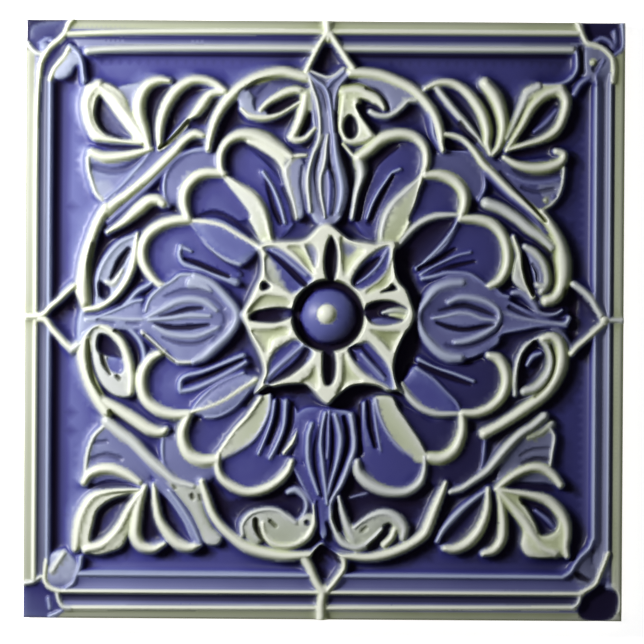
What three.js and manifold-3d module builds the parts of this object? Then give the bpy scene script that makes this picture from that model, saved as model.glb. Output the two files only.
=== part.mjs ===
// Moulded ceramic wall tile with a rosette in relief. All sizes are millimetres.
// The origin is the centre of the underside, +Z points out of the face and +Y to the top of the pattern.

import * as THREE from "three";
import { mergeVertices } from "three/addons/utils/BufferGeometryUtils.js";
import Module from "manifold-3d";

const wasm = await Module();
wasm.setup();

// Plate
const TILE_SIZE = 152;
const FIELD_LEVEL = 7;
const ARRIS = 0.6;

// The pattern is drawn on a square of this size and stretched to the tile
const DRAWN_SIZE = 152;

// Frame moulding, measured inwards from the edge of the tile
const RIM_EDGE_LEVEL = 7.8;
const RIM_SLOPE_WIDTH = 2.2;
const OUTER_BEAD_WIDTH = 1.2;
const CHANNEL_WIDTH = 2.4;
const INNER_BEAD_WIDTH = 1.1;
const BEAD_RISE = 2.4;
const CHANNEL_RISE = 1.3;
const BOTTOM_WIDENING = 4;

// Rise of each form above the field
const KNOT_RISE = 1.7;
const SHEET_RISE = 0.7;
const WEB_RISE = 1.3;
const BLADE_RISE = 2;
const RIBBON_RISE = 3;
const LOBE_RISE = 3;
const PETAL_RISE = 2.7;
const BUD_RISE = 2.4;
const STAR_RISE = 4;
const BOSS_RISE = 6;

// Sunk parts, below the crest of what they are cut into
const SLOT_DEPTH = 2.6;
const HOLLOW_DEPTH = 1.2;
const FLUTE_DEPTH = 1.7;
const EYE_DEPTH = 1.8;
const MOAT_DEPTH = 3.8;

// Boss
const BOSS_CENTRE = [1.1, 1.1];
const BOSS_RADIUS = 7;
const MOAT_WIDTH = 1.7;
const BEAD_CENTRE = [0.6, 1.5];
const BEAD_RADIUS = 2.6;
const BEAD_STAND = 1.2;
const BOSS_FOOT_RISE = 1.6;

// Keying grooves in the underside
const GROOVE_COUNT = 10;
const GROOVE_WIDTH = 7;
const GROOVE_DEPTH = 1;
const GROOVE_PITCH = 14;
const GROOVE_MARGIN = 8;

// Section of a ridge: the flat crest as a share of its width, how far its foot spreads, and how deep it runs
// into the clay. The star's foot is wider than its top by the share below
const CREST_SHARE = 0.6;
const FOOT_SPREAD = 1.3;
const STAR_FOOT_SHARE = 1.03;
const ROOT = 1.5;
const SLOT_FLOOR_SHARE = 0.4;
const SMALLEST_HALF = 0.18;

// How finely curves are stepped
const STATION_SPACING = 4.2;
const OUTLINE_SPACING = 3;
const OUTLINE_CORNERS = 8;

// Sides of the round parts, and levels of their domes
const BOSS_SIDES = 40;
const BEAD_SIDES = 24;
const BOSS_LEVELS = 6;
const BEAD_LEVELS = 4;

// How far a cutting body stands clear of what it cuts, and the gap across which points are joined
const CLEAR = 1;
const WELD = 1e-4;

const half = TILE_SIZE / 2;
const stretch = TILE_SIZE / DRAWN_SIZE;

const glaze = new THREE.MeshStandardMaterial({ color: 0x6f70a8, roughness: 0.18, metalness: 0 });

function toManifold(geometry) {
  geometry.deleteAttribute("normal");
  geometry.deleteAttribute("uv");
  const welded = mergeVertices(geometry, WELD);
  return new wasm.Manifold(new wasm.Mesh({
    numProp: 3,
    vertProperties: new Float32Array(welded.attributes.position.array),
    triVerts: new Uint32Array(welded.index.array),
  }));
}

function toGeometry(manifold) {
  const mesh = manifold.getMesh();
  const geometry = new THREE.BufferGeometry();
  geometry.setAttribute("position", new THREE.BufferAttribute(new Float32Array(mesh.vertProperties), 3));
  geometry.setIndex(new THREE.BufferAttribute(new Uint32Array(mesh.triVerts), 1));
  geometry.computeVertexNormals();
  return geometry;
}

function unite(solids) {
  return wasm.Manifold.union(solids);
}

// A closed body through equal rings of points. The rings go round, or end in two caps.
function loft(rings, goesRound) {
  const count = rings[0].length;
  const faces = [];
  const spans = goesRound ? rings.length : rings.length - 1;
  for (let i = 0; i < spans; i += 1) {
    const here = i * count;
    const next = ((i + 1) % rings.length) * count;
    for (let k = 0; k < count; k += 1) {
      const after = (k + 1) % count;
      faces.push(here + k, here + after, next + after);
      faces.push(here + k, next + after, next + k);
    }
  }
  if (!goesRound) {
    const last = (rings.length - 1) * count;
    for (let k = 1; k < count - 1; k += 1) {
      faces.push(0, k + 1, k);
      faces.push(last, last + k, last + k + 1);
    }
  }
  const geometry = new THREE.BufferGeometry();
  geometry.setAttribute("position", new THREE.Float32BufferAttribute(rings.flat(2), 3));
  geometry.setIndex(faces);
  return toManifold(geometry);
}

function curveThrough(line, closed) {
  const points = line.map(([x, y]) => new THREE.Vector3(x * stretch, y * stretch, 0));
  return new THREE.CatmullRomCurve3(points, closed, "centripetal");
}

function shareAt(values, share) {
  const place = share * (values.length - 1);
  const low = Math.min(Math.floor(place), values.length - 2);
  return THREE.MathUtils.lerp(values[low], values[low + 1], place - low);
}

// Points along a curve with the direction and the half width at each
function stationsAlong(line, halves) {
  const curve = curveThrough(line, false);
  const steps = Math.max(2, Math.round(curve.getLength() / STATION_SPACING));
  const stations = [];
  for (let i = 0; i <= steps; i += 1) {
    const share = i / steps;
    const width = Array.isArray(halves) ? shareAt(halves, share) : halves;
    const along = curve.getTangentAt(share);
    stations.push({ at: curve.getPointAt(share), along, width: Math.max(width, SMALLEST_HALF) * stretch });
  }
  return stations;
}

function corner({ at, along }, side, z) {
  return [at.x - along.y * side, at.y + along.x * side, z];
}

// A ridge along a curve: a flat crest with sloping flanks that run down into the clay
function ridge(line, halves, rise) {
  const crest = FIELD_LEVEL + rise;
  const foot = FIELD_LEVEL - ROOT;
  const rings = stationsAlong(line, halves).map((station) => [
    corner(station, station.width + FOOT_SPREAD, foot),
    corner(station, station.width * CREST_SHARE, crest),
    corner(station, -station.width * CREST_SHARE, crest),
    corner(station, -station.width - FOOT_SPREAD, foot),
  ]);
  return loft(rings, false);
}

// A block inside a smooth outline. Its foot may be wider than its top, about the point given
function block(outline, low, high, footShare = 1, middle = [0, 0]) {
  const curve = curveThrough(outline, true);
  const corners = Math.max(OUTLINE_CORNERS, Math.round(curve.getLength() / OUTLINE_SPACING));
  const points = curve.getSpacedPoints(corners);
  const shape = new THREE.Shape(points.slice(0, -1).map((point) => new THREE.Vector2(point.x, point.y)));
  const options = { depth: high - low, bevelEnabled: false, curveSegments: 1 };
  const geometry = new THREE.ExtrudeGeometry(shape, options);
  const place = geometry.attributes.position;
  const [x, y] = middle.map((value) => value * stretch);
  for (let i = 0; i < place.count; i += 1) {
    if (place.getZ(i) === 0) {
      place.setXY(i, x + (place.getX(i) - x) * footShare, y + (place.getY(i) - y) * footShare);
    }
  }
  return toManifold(geometry.translate(0, 0, low));
}

function sheet(outline, rise) {
  return block(outline, FIELD_LEVEL - ROOT, FIELD_LEVEL + rise);
}

// The hole that a pocket with this outline leaves in a form of the given rise
function pocket(outline, rise, depth) {
  return block(outline, FIELD_LEVEL + rise - depth, FIELD_LEVEL + BOSS_RISE + CLEAR);
}

// The hole that a long narrow slot leaves
function slot(line, halves, rise, depth) {
  const floor = FIELD_LEVEL + rise - depth;
  const open = FIELD_LEVEL + BOSS_RISE + CLEAR;
  const rings = stationsAlong(line, halves).map((station) => [
    corner(station, station.width * SLOT_FLOOR_SHARE, floor),
    corner(station, station.width, open),
    corner(station, -station.width, open),
    corner(station, -station.width * SLOT_FLOOR_SHARE, floor),
  ]);
  return loft(rings, false);
}

function turned(profile, centre, segments) {
  const points = profile.map(([radius, z]) => new THREE.Vector2(radius, z));
  const geometry = new THREE.LatheGeometry(points, segments);
  geometry.rotateX(Math.PI / 2);
  return toManifold(geometry.translate(centre[0] * stretch, centre[1] * stretch, 0));
}

function square(reach, z) {
  return [[-reach, -reach, z], [reach, -reach, z], [reach, reach, z], [-reach, reach, z]];
}

// The plate is a square block with its lower edges eased
function plateBody() {
  return loft([square(half - ARRIS, 0), square(half, ARRIS), square(half, FIELD_LEVEL)], false);
}

// The column above the tile, which trims the relief at the tile's edges
function tileColumn() {
  const low = FIELD_LEVEL - ROOT - CLEAR;
  const high = FIELD_LEVEL + BOSS_RISE + CLEAR;
  return loft([square(half, low), square(half, high)], false);
}

// The frame runs round all four sides as one moulding with mitred corners
function frameMoulding() {
  const bead = FIELD_LEVEL + BEAD_RISE;
  const channel = FIELD_LEVEL + CHANNEL_RISE;
  const outerBead = RIM_SLOPE_WIDTH + OUTER_BEAD_WIDTH;
  const innerBead = outerBead + CHANNEL_WIDTH;
  const inside = innerBead + INNER_BEAD_WIDTH;
  const section = [
    [0, FIELD_LEVEL - ROOT],
    [inside + 2 * INNER_BEAD_WIDTH, FIELD_LEVEL - ROOT],
    [inside, bead - INNER_BEAD_WIDTH / 2],
    [inside - INNER_BEAD_WIDTH / 3, bead],
    [innerBead + INNER_BEAD_WIDTH / 3, bead],
    [innerBead, channel],
    [outerBead, channel],
    [outerBead - OUTER_BEAD_WIDTH / 3, bead],
    [RIM_SLOPE_WIDTH + OUTER_BEAD_WIDTH / 3, bead],
    [RIM_SLOPE_WIDTH, bead - OUTER_BEAD_WIDTH / 2],
    [0, RIM_EDGE_LEVEL],
  ];
  const corners = [[-1, -1], [1, -1], [1, 1], [-1, 1]];
  const rings = corners.map(([x, y]) => section.map(([inwards, z]) => {
    const widening = y < 0 && inwards > outerBead ? BOTTOM_WIDENING : 0;
    return [x * (half - inwards), y * (half - inwards - widening), z];
  }));
  return loft(rings, true);
}

// Grooves across the underside that key the tile to its bed
function keyingGrooves() {
  const length = TILE_SIZE - 2 * GROOVE_MARGIN;
  const grooves = [];
  for (let i = 0; i < GROOVE_COUNT; i += 1) {
    const across = (i - (GROOVE_COUNT - 1) / 2) * GROOVE_PITCH;
    const groove = new THREE.BoxGeometry(GROOVE_WIDTH, length, GROOVE_DEPTH + CLEAR);
    grooves.push(toManifold(groove.translate(across, 0, (GROOVE_DEPTH - CLEAR) / 2)));
  }
  return grooves;
}

// A knot in each corner of the field, where the mouldings meet
function cornerKnots() {
  return [
    ridge([[-64.3, 74.5], [-66, 72.8], [-67, 71.3], [-68.8, 69.8], [-70.2, 68.5], [-71.3, 66.8],
      [-72.3, 64.5]], 0.7, BEAD_RISE),
    sheet([[-69.2, 62], [-67, 64.5], [-65, 67.8], [-63, 67.3], [-61.5, 65], [-64.2, 62.8],
      [-66.5, 60.6], [-68.5, 60.8]], KNOT_RISE),
    ridge([[64.6, 74], [65.2, 72.5], [66.2, 70.8], [68, 70.2], [70, 69.5], [71.5, 68.3], [72.6, 66.8],
      [73, 64.5]], 0.6, BEAD_RISE),
    sheet([[66.3, 70.3], [70.5, 69], [72.5, 66.5], [72.6, 64], [71, 62.5], [69, 60.5], [66, 61.5],
      [63.8, 64], [64, 67.5]], KNOT_RISE),
    ridge([[-70, -62], [-70.4, -64.5], [-70.4, -66], [-69.8, -67.5], [-68.5, -68.5], [-67, -69]],
      0.5, BEAD_RISE),
    sheet([[-68.5, -59.3], [-65.5, -58.8], [-62.3, -62], [-62.8, -65], [-64, -67], [-68.5, -67.3],
      [-70, -65.5], [-69.3, -62]], KNOT_RISE),
    ridge([[72.5, -59], [71.3, -61.5], [70.3, -64], [69.2, -66.5], [67, -68], [65, -69]], 0.5, BEAD_RISE),
    sheet([[66.5, -58.3], [68.3, -58.3], [68.5, -61], [69.8, -63.5], [69, -66], [66.5, -67],
      [64.5, -66], [63.2, -63]], KNOT_RISE),
  ];
}

// Ribbon diamonds that bridge the frame and the ring at the middle of each side
function diamondRibbons() {
  return [
    ridge([[0.3, 74.5], [0.4, 73.5], [0.5, 72]], 1.2, RIBBON_RISE),
    ridge([[0.2, 72.5], [-1.2, 70.5], [-2.8, 67.5], [-4, 65], [-5, 63.3]], 0.7, RIBBON_RISE),
    ridge([[1.2, 72.5], [2.5, 70.5], [4.2, 68], [5.8, 65.5], [7, 64]], 0.8, RIBBON_RISE),
    ridge([[-73.5, 0.5], [-71, 1.2], [-69.5, 2.8], [-67, 5], [-65, 7], [-63.8, 8]], 0.7, RIBBON_RISE),
    ridge([[-70.5, -0.5], [-69, -2.5], [-67, -4.7], [-65, -6.8], [-64, -7.5]], 0.7, RIBBON_RISE),
    ridge([[-63.5, -7.6], [-62, -6.3], [-60.5, -4.3], [-59, -2.3], [-57.5, -1.5]], 1, RIBBON_RISE),
    ridge([[63.5, 9.5], [65.5, 8], [67.8, 5.7], [69, 3.5], [70, 1.5], [70.7, 0.5]], 0.8, RIBBON_RISE),
    ridge([[71, 0], [69, -2], [66.5, -4.3], [64, -6.5], [62.8, -8]], 0.7, RIBBON_RISE),
    ridge([[-4.5, -60.5], [-3.3, -62.5], [-2.2, -65], [-1, -67.2], [0, -68.5]], [1, 0.8], RIBBON_RISE),
    ridge([[4.5, -59.8], [5.4, -61.5], [5.3, -63], [4, -65], [2.5, -67], [1.2, -68.5]], 0.7, RIBBON_RISE),
    ridge([[0.2, -68.8], [-0.3, -72], [-0.2, -74.5]], 1.2, RIBBON_RISE),
  ];
}

// The lobed ring round the rosette: one arch on each side, in two halves, and a stem at each diagonal
function ringRibbons() {
  return [
    ridge([[-29.7, 43.2], [-29, 47], [-27.7, 51], [-25.3, 55], [-22, 58.3], [-18, 60.9], [-14, 62.3],
      [-10.5, 62.8],
      [-7.5, 62.2], [-5, 61.6]], [0.7, 0.8, 1, 1.2, 1.3, 1.3, 1.3, 1.3, 1.2, 1.1], RIBBON_RISE),
    ridge([[6.5, 62.8], [10, 62.7], [14, 62.2], [18, 60.8], [22, 58.8], [25, 56], [27.5, 52.5], [29, 48.5],
      [29.5, 45], [29.8, 43.3]], [1.1, 1.2, 1.2, 1.2, 1.2, 1.1, 1.1, 1, 0.8, 0.7], RIBBON_RISE),
    ridge([[-30.8, -41], [-29.5, -45], [-28, -49], [-26, -52], [-23, -55], [-19.5, -57.5], [-15, -59],
      [-10, -59.8],
      [-6, -59.7], [-3, -59.3]], [0.7, 0.9, 0.9, 0.9, 1, 1.2, 1.3, 1.2, 0.9, 0.6], RIBBON_RISE),
    ridge([[31, -41], [29.7, -44.5], [28.3, -48], [27, -51.5], [25.8, -54], [23, -56.3], [19, -58.3],
      [15, -59.6],
      [11, -60.1], [7.5, -59.8], [4.5, -59.3]],
      [0.7, 0.9, 1.1, 1.2, 1.2, 1.1, 1.1, 1.1, 0.9, 0.8, 0.6], RIBBON_RISE),
    ridge([[-55.5, 28], [-57.5, 24.5], [-59, 20.5], [-60.3, 16], [-61, 11], [-61.2, 7], [-60.8, 4.5]],
      [1.1, 1.1, 1.1, 1.3, 1.5, 1.7, 1.5], RIBBON_RISE),
    ridge([[-60.5, -5], [-61, -9], [-60.3, -13], [-58.8, -17], [-57, -20.5], [-55, -23.5]],
      1.5, RIBBON_RISE),
    ridge([[55, 27.5], [57.5, 24], [59.5, 20], [60.4, 15.5], [60.4, 11], [59.5, 7.5], [58, 5.8],
      [56.3, 5.3]],
      [1, 1.2, 1.6, 2, 1.9, 1.5, 1.3, 1.2], RIBBON_RISE),
    ridge([[55.5, -4.3], [57.5, -3.8], [59.3, -4.8], [60.2, -7.5], [60, -11], [58.5, -15], [56, -18.5],
      [52, -21.5],
      [48, -24.3], [44, -26.8], [40.8, -28.5]],
      [0.9, 1, 1.2, 1.5, 1.8, 1.6, 1.4, 1.3, 1.2, 1.1, 1.2], RIBBON_RISE),
    ridge([[-55, 22], [-51, 24.5], [-47, 28], [-44.5, 30], [-42.5, 30.3], [-41, 29.3]],
      [0.5, 0.9, 1.4, 1.3, 1.1, 0.8], RIBBON_RISE),
    ridge([[-55.5, -21], [-52, -23], [-48, -25.5], [-44, -28], [-41, -28.7], [-40, -28]],
      [1, 1.2, 1.3, 1.3, 1, 0.7], RIBBON_RISE),
    ridge([[41, 30], [45, 28.5], [49, 26], [52, 23.5], [55, 21.5], [57.5, 19]], 1.3, RIBBON_RISE),
    ridge([[-31, 46.6], [-33, 47], [-35.5, 45.5], [-38, 42.8], [-41, 39.8], [-44, 36.8], [-47, 34.2],
      [-50, 31.7],
      [-53, 29.5], [-55.3, 27.3]], 1, RIBBON_RISE),
    ridge([[30.3, 47.3], [32.5, 47], [35, 46], [37.5, 43.5], [40, 40], [43, 37], [47, 33], [50, 30.5],
      [53, 28],
      [55.5, 26]], 0.9, RIBBON_RISE),
    ridge([[-55, -26], [-52, -28.5], [-48, -31.5], [-44, -35.5], [-40, -39], [-37.5, -41],
      [-31.3, -41.8]], 1.2, RIBBON_RISE),
    ridge([[56, -24], [53, -26.5], [50, -28.5], [47, -31.5], [44.5, -34.5], [41.5, -38], [38, -40.5],
      [35, -42.5],
      [31, -43]], 1, RIBBON_RISE),
  ];
}

// Scrolls inside the arches of the ring
function archScrolls() {
  return [
    ridge([[-20.5, 56], [-20.3, 53.5], [-18.5, 51.9], [-15.5, 51.4], [-12, 52], [-9, 53.7], [-6.5, 55.2]],
      [1.2, 1.2, 1, 0.7, 0.5, 0.4, 0.4], PETAL_RISE),
    ridge([[-16.2, 53.3], [-14.5, 55.2], [-12, 56.7], [-9.5, 57.9], [-7, 58.3], [-5, 57.5]],
      [0.5, 0.7, 0.9, 1, 0.9, 0.8], PETAL_RISE),
    ridge([[-5, 57], [-5.5, 54], [-6.3, 51], [-7.3, 48.5], [-8.3, 46.6]],
      [1.2, 1.4, 1.2, 1, 0.9], PETAL_RISE),
    ridge([[-8.5, 46.3], [-7, 45.5], [-5, 45.9], [-3.5, 47.5]], [0.9, 0.8, 0.7, 0.5], PETAL_RISE),
    ridge([[4.5, 58], [8, 58.3], [11, 57.3], [13.5, 55.8], [14.8, 54]],
      [1.5, 1.6, 1.3, 1, 0.6], PETAL_RISE),
    ridge([[5, 57], [4.5, 54], [4, 51], [4, 48.5], [4.8, 46.5]], [1.2, 1, 0.8, 0.8, 0.7], PETAL_RISE),
    ridge([[7.3, 54.5], [8.8, 51.5], [10.3, 49], [11.8, 46.8]], [0.9, 1, 1.2, 0.8], PETAL_RISE),
    ridge([[5, 46], [7, 45.2], [10, 46], [11.8, 46.8]], [0.7, 0.8, 1, 0.8], PETAL_RISE),
    ridge([[11.2, 53], [13, 52], [15.5, 51.9], [17.5, 52.7], [19.5, 54.3], [21, 55.8], [23, 56]],
      0.7, PETAL_RISE),
    sheet([[-20, -54.5], [-20.3, -52], [-18.5, -49.3], [-15, -48], [-11.5, -48.2], [-9, -49.6], [-7, -51.2],
      [-5.3, -49.5], [-3, -49], [-2, -50.5], [-2.3, -53], [-4, -55.5], [-7, -57.3], [-10.5, -57.6],
      [-14, -56]], BLADE_RISE),
    sheet([[16, 52.6], [20, 54.6], [23.5, 54.8], [26.5, 51], [27.5, 47], [29.3, 47], [27.5, 52], [24, 56.3],
      [18.5, 60], [12, 61.8], [7, 61.8], [10.5, 59.6], [13.6, 58], [15.4, 55.2]], KNOT_RISE),
    ridge([[-8.8, -43.5], [-7, -43.3], [-5.3, -44.8], [-4.4, -46.5], [-4.2, -49.5]],
      [0.8, 1, 0.8, 0.6, 0.6], PETAL_RISE),
    ridge([[1.5, -46], [2.3, -51], [4, -55], [6, -57], [8.5, -57.6], [11, -56.5], [12.8, -54.5]],
      0.9, PETAL_RISE),
    ridge([[4, -44.5], [4.8, -48], [5.8, -51], [7, -53.5], [8, -56.5]],
      [0.5, 0.8, 1, 1.5, 1.5], PETAL_RISE),
    ridge([[7.5, -53], [10, -50], [13, -48.7], [16, -48.5], [19, -50], [20.7, -52.5], [20.3, -55]],
      [0.8, 0.9, 1.1, 1.2], PETAL_RISE),
    ridge([[12, -56], [14, -53], [15.5, -51.5], [17, -49.5]], 0.7, PETAL_RISE),
  ];
}

// S-shaped scrolls between the ring and the side buds
function sideScrolls() {
  return [
    ridge([[-60.5, 2], [-57, 3], [-53, 5.8], [-50, 10], [-48.7, 14], [-48.2, 18], [-47.3, 21.7]],
      0.8, PETAL_RISE),
    ridge([[-48, 21], [-50, 19.5], [-53, 16], [-55.5, 11.5], [-57, 7.5], [-57.3, 3.5]], 0.9, PETAL_RISE),
    ridge([[-57.5, -1.3], [-54.5, -2.5], [-51.5, -5.5], [-49.3, -9.5], [-48.6, -14], [-49.5, -18]],
      [0.9, 1.3], PETAL_RISE),
    ridge([[-57.7, -2], [-57.5, -6], [-57.3, -10], [-56, -14], [-53.5, -17.5], [-50.5, -19]],
      [0.9, 1.4], PETAL_RISE),
    ridge([[47.5, 21], [49.3, 16.5], [49, 13], [50, 9.5], [52.5, 6]], [0.8, 1, 1.1, 1.2, 1], PETAL_RISE),
    ridge([[50.5, 18.7], [53, 17.5], [55, 15], [56, 12], [56, 9.5], [54.5, 7.5]],
      [0.7, 1.1, 1.3, 1.3, 1, 0.9], PETAL_RISE),
    ridge([[54.5, -3.8], [51, -6.5], [49.3, -10], [48.6, -14], [48.5, -18.5]], 0.7, PETAL_RISE),
    ridge([[52.5, -9.5], [54, -8], [56, -8.5], [56.8, -11], [55.8, -14], [53.5, -16.5], [50, -18]],
      [0.7, 0.8, 1, 1.1, 1.2, 1.3, 1], PETAL_RISE),
  ];
}

// Large outer petals, four pairs that meet at the diagonals, each an open loop of ribbon
function petalRibbons() {
  return [
    ridge([[-8.5, 41.2], [-12, 43.5], [-15, 45.3], [-18, 46.6], [-21.5, 46.8], [-24.5, 45.3],
      [-26.3, 42.5], [-26.5, 39],
      [-25.5, 35.5]], [1.3, 1.9, 2.1, 1.6, 1.1, 1, 0.9, 0.8, 0.8], RIBBON_RISE),
    ridge([[-8.5, 41.5], [-12, 40], [-9.5, 35], [-7.8, 30], [-7.3, 25.5]],
      [0.8, 1.3, 1.2, 0.9, 0.7], PETAL_RISE),
    ridge([[8.5, 41.3], [11, 43.2], [14, 45.8], [17, 47], [20, 47.3], [23, 46.5], [25.2, 44],
      [25.7, 40.5], [25.2, 37.5]],
      [1.3, 1.5, 1.5, 1.3, 1.2, 1.1, 1, 0.9, 0.8], RIBBON_RISE),
    ridge([[8.5, 41.5], [9.3, 38], [8.3, 32], [7.3, 28], [6.9, 26]], [1.8, 1.5, 0.9, 0.7, 0.5], PETAL_RISE),
    ridge([[-26.5, -34], [-26.8, -37], [-25.8, -40], [-23, -42.3], [-19, -43.7], [-15, -43],
      [-11.5, -41], [-9, -38.3],
      [-8, -36]], [0.7, 0.8, 0.9, 1, 1, 1.1, 1, 0.9, 0.7], RIBBON_RISE),
    ridge([[25.7, -34.5], [25.6, -38], [24.5, -41], [21.5, -43.2], [18, -43.6], [14.5, -42.8],
      [11, -40.8], [8.7, -38],
      [8.6, -35.5]], [0.7, 0.7, 0.9, 1, 1.1, 1.3, 1.4, 1.2, 0.8], RIBBON_RISE),
    ridge([[-26, 37], [-30, 37.2], [-33, 36], [-35.3, 33], [-35.8, 29.5], [-34.6, 25.4]], 1.3, RIBBON_RISE),
    ridge([[26, 37], [29.5, 37], [33, 35.5], [35.2, 32.5], [35.3, 29], [33.8, 25.5]], 1.4, RIBBON_RISE),
    ridge([[-34.2, -24.3], [-35.8, -28.5], [-35.5, -31.5], [-34, -34.3], [-31, -35.8], [-27, -35.7]],
      1.3, RIBBON_RISE),
    ridge([[35, -23.5], [35.3, -26], [34.8, -29.5], [33, -33], [30, -34.8], [26.5, -34.6]],
      [0.9, 1, 1.2, 1.5, 1.6, 1.3], RIBBON_RISE),
    ridge([[-34.5, 25.3], [-38, 25], [-42, 23.6], [-45, 21], [-46.3, 17.5], [-45.8, 14], [-44, 11],
      [-42, 9], [-40.3, 8]],
      [1, 1.1, 1.2, 1.2, 1.2, 1.1, 0.9, 0.7, 0.6], RIBBON_RISE),
    ridge([[36, 25.8], [39, 25.8], [42.5, 24.7], [45, 22], [46.3, 18], [46.2, 14], [44.5, 10.5],
      [41.5, 8.4]], 1.2, RIBBON_RISE),
    ridge([[-41.5, -8.5], [-43.8, -10], [-45.8, -13], [-46.2, -17], [-45, -20.5], [-42, -23],
      [-38, -24.2], [-34, -24]],
      [0.9, 1.1, 1.3, 1.3, 1.2, 1.2, 1.1, 1], RIBBON_RISE),
    ridge([[42, -8.5], [44.3, -9.5], [46, -12.5], [46.2, -16], [44.8, -19.5], [42, -22], [38.5, -23.3],
      [35, -23.2]],
      [0.8, 1.3, 1.3, 1.3, 1.2, 1.1, 1, 0.8], RIBBON_RISE),
  ];
}

// Leaf blades that run from the star out to the petals
function leafBlades() {
  return [
    sheet([[-25.7, 36.5], [-23.5, 34.3], [-20, 32.5], [-17.3, 30], [-15, 26.5], [-14, 23],
      [-13.2, 19.5], [-16, 19.8],
      [-18.5, 24], [-21.5, 29], [-24, 33]], BLADE_RISE),
    sheet([[25, 38], [24, 34], [23, 30], [21.5, 25.5], [19.5, 21.5], [18, 19.5], [14.5, 19.8],
      [14.2, 22], [15, 25],
      [16, 28], [18, 31], [21, 33.5], [23.3, 36.5]], BLADE_RISE),
    sheet([[-16, -19.8], [-13.7, -18.5], [-13.7, -22], [-15.3, -26.5], [-18, -30.5], [-22, -33.3],
      [-25.5, -35],
      [-26, -33], [-22.5, -28], [-19, -24]], BLADE_RISE),
    sheet([[12.5, -19.5], [17.5, -19.3], [19, -22], [22, -26.5], [25, -31], [26.3, -34.5], [24.5, -36],
      [22.5, -34],
      [18.5, -31.5], [16, -27.5], [14, -23]], BLADE_RISE),
    sheet([[-34.3, 24.8], [-31.5, 25.8], [-27, 25.8], [-22, 23.3], [-18, 20], [-17, 18.3],
      [-18.5, 15.5], [-21, 13.8],
      [-25, 15.3], [-29, 18], [-32, 21.5]], BLADE_RISE),
    ridge([[18.5, 18.8], [21, 22], [24, 24.7], [28, 26.5], [34, 27]], 0.7, BLADE_RISE),
    ridge([[33.8, 26.5], [33, 24], [31, 21], [28, 17.5], [25.5, 15]], 0.4, BLADE_RISE),
    sheet([[-33.5, -23.5], [-31, -19.8], [-28, -17.5], [-24.5, -15.3], [-20, -13.3], [-17, -14.8],
      [-18, -17.5],
      [-20.5, -20.5], [-23.5, -23], [-27, -24.5]], BLADE_RISE),
    sheet([[19.5, -15.8], [21, -18.5], [24, -21.5], [28, -23.5], [32, -24], [34.5, -23.5], [33, -19.5],
      [30, -16],
      [26, -13], [22.5, -11], [20.5, -13]], BLADE_RISE),
  ];
}

// Fluted buds on the four axes
function buds() {
  return [
    sheet([[-4.3, 62], [-3, 57], [-1.8, 52], [-1.2, 48], [-2.2, 44], [-4, 39], [-4.6, 34], [-4, 28],
      [-2, 25],
      [3, 25], [5.8, 30], [6.2, 35], [5, 41], [3, 46], [2.4, 50], [2.7, 56], [3.5, 60], [5.5, 62.5],
      [2, 61.3]], BUD_RISE),
    sheet([[-4, -26], [-4.4, -32], [-3.4, -38], [-2.2, -43], [-2, -47], [-1.5, -50], [-0.4, -56],
      [1, -51.5], [2, -47],
      [4, -43.5], [6.5, -39], [8.5, -34], [8.6, -30], [7.5, -24.5], [2.5, -22.8]], BUD_RISE),
    sheet([[-40, 8.5], [-37, 11], [-34.5, 11.5], [-31, 10.5], [-27, 7.5], [-24, 4.5], [-22, 1.5], [-22, -1],
      [-23.5, -4.5], [-27, -8], [-31, -10.3], [-35, -10.8], [-38, -9.8], [-41, -7.5], [-44.5, -4.5],
      [-50, -2],
      [-58, -1], [-60.5, 1], [-54, 2], [-47, 5]], BUD_RISE),
    sheet([[24, 2], [26, 6], [29, 9], [33, 10.3], [37, 11], [41, 8.8], [46, 6], [52, 3], [58, 0.5],
      [62, -0.6],
      [56, -1.5], [50, -2], [46, -3.5], [44, -6], [41, -7.8], [38, -9.3], [35, -9.8], [30, -8.5],
      [27, -5.5],
      [24.5, -2]], BUD_RISE),
  ];
}

// The dark flutes in the buds
function budFlutes() {
  return [
    slot([[2.6, 55], [2.7, 50], [4.2, 42], [6, 35.5], [6.3, 31], [5.4, 27.3]], 0.8, BUD_RISE, FLUTE_DEPTH),
    slot([[0.8, 45.5], [1, 39.5], [2.6, 35], [2.5, 29], [1.9, 26.8]], 0.8, BUD_RISE, FLUTE_DEPTH),
    slot([[-0.6, 46.3], [-1.8, 41.5], [-2.5, 36], [-1.5, 30], [-0.5, 26.6]], 0.7, BUD_RISE, FLUTE_DEPTH),
    slot([[0.2, -23.8], [-1.7, -30], [-2, -37], [-0.2, -44.8]], [0.5, 1, 0.9, 0.4], BUD_RISE, FLUTE_DEPTH),
    slot([[1.9, -24.5], [2.3, -34], [1.2, -42.3]], [0.6, 1, 0.5], BUD_RISE, FLUTE_DEPTH),
    slot([[5.2, -24.5], [6, -32], [4.9, -36], [1.8, -45]], [1, 1.4, 1.2, 0.5], BUD_RISE, FLUTE_DEPTH),
    slot([[-42, 0.3], [-34, 2.2], [-28.5, 2.2]], [0.4, 1.3, 0.9], BUD_RISE, FLUTE_DEPTH),
    slot([[-42.5, -1.1], [-34, -2.2], [-28, -1]], [0.4, 1.4, 0.6], BUD_RISE, FLUTE_DEPTH),
    slot([[27.5, 1.5], [34, 3.2], [40, 2.6], [43.9, 1.2]], [0.6, 1.7, 2, 1], BUD_RISE, FLUTE_DEPTH),
    slot([[28.3, -0.8], [34, -2.1], [43, -1]], [0.4, 1.3, 0.4], BUD_RISE, FLUTE_DEPTH),
    slot([[31, -6], [38.5, -5.6], [43.8, -2.5], [45, -0.5]], [0.9, 1.8, 1, 0.5], BUD_RISE, FLUTE_DEPTH),
  ];
}

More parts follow.
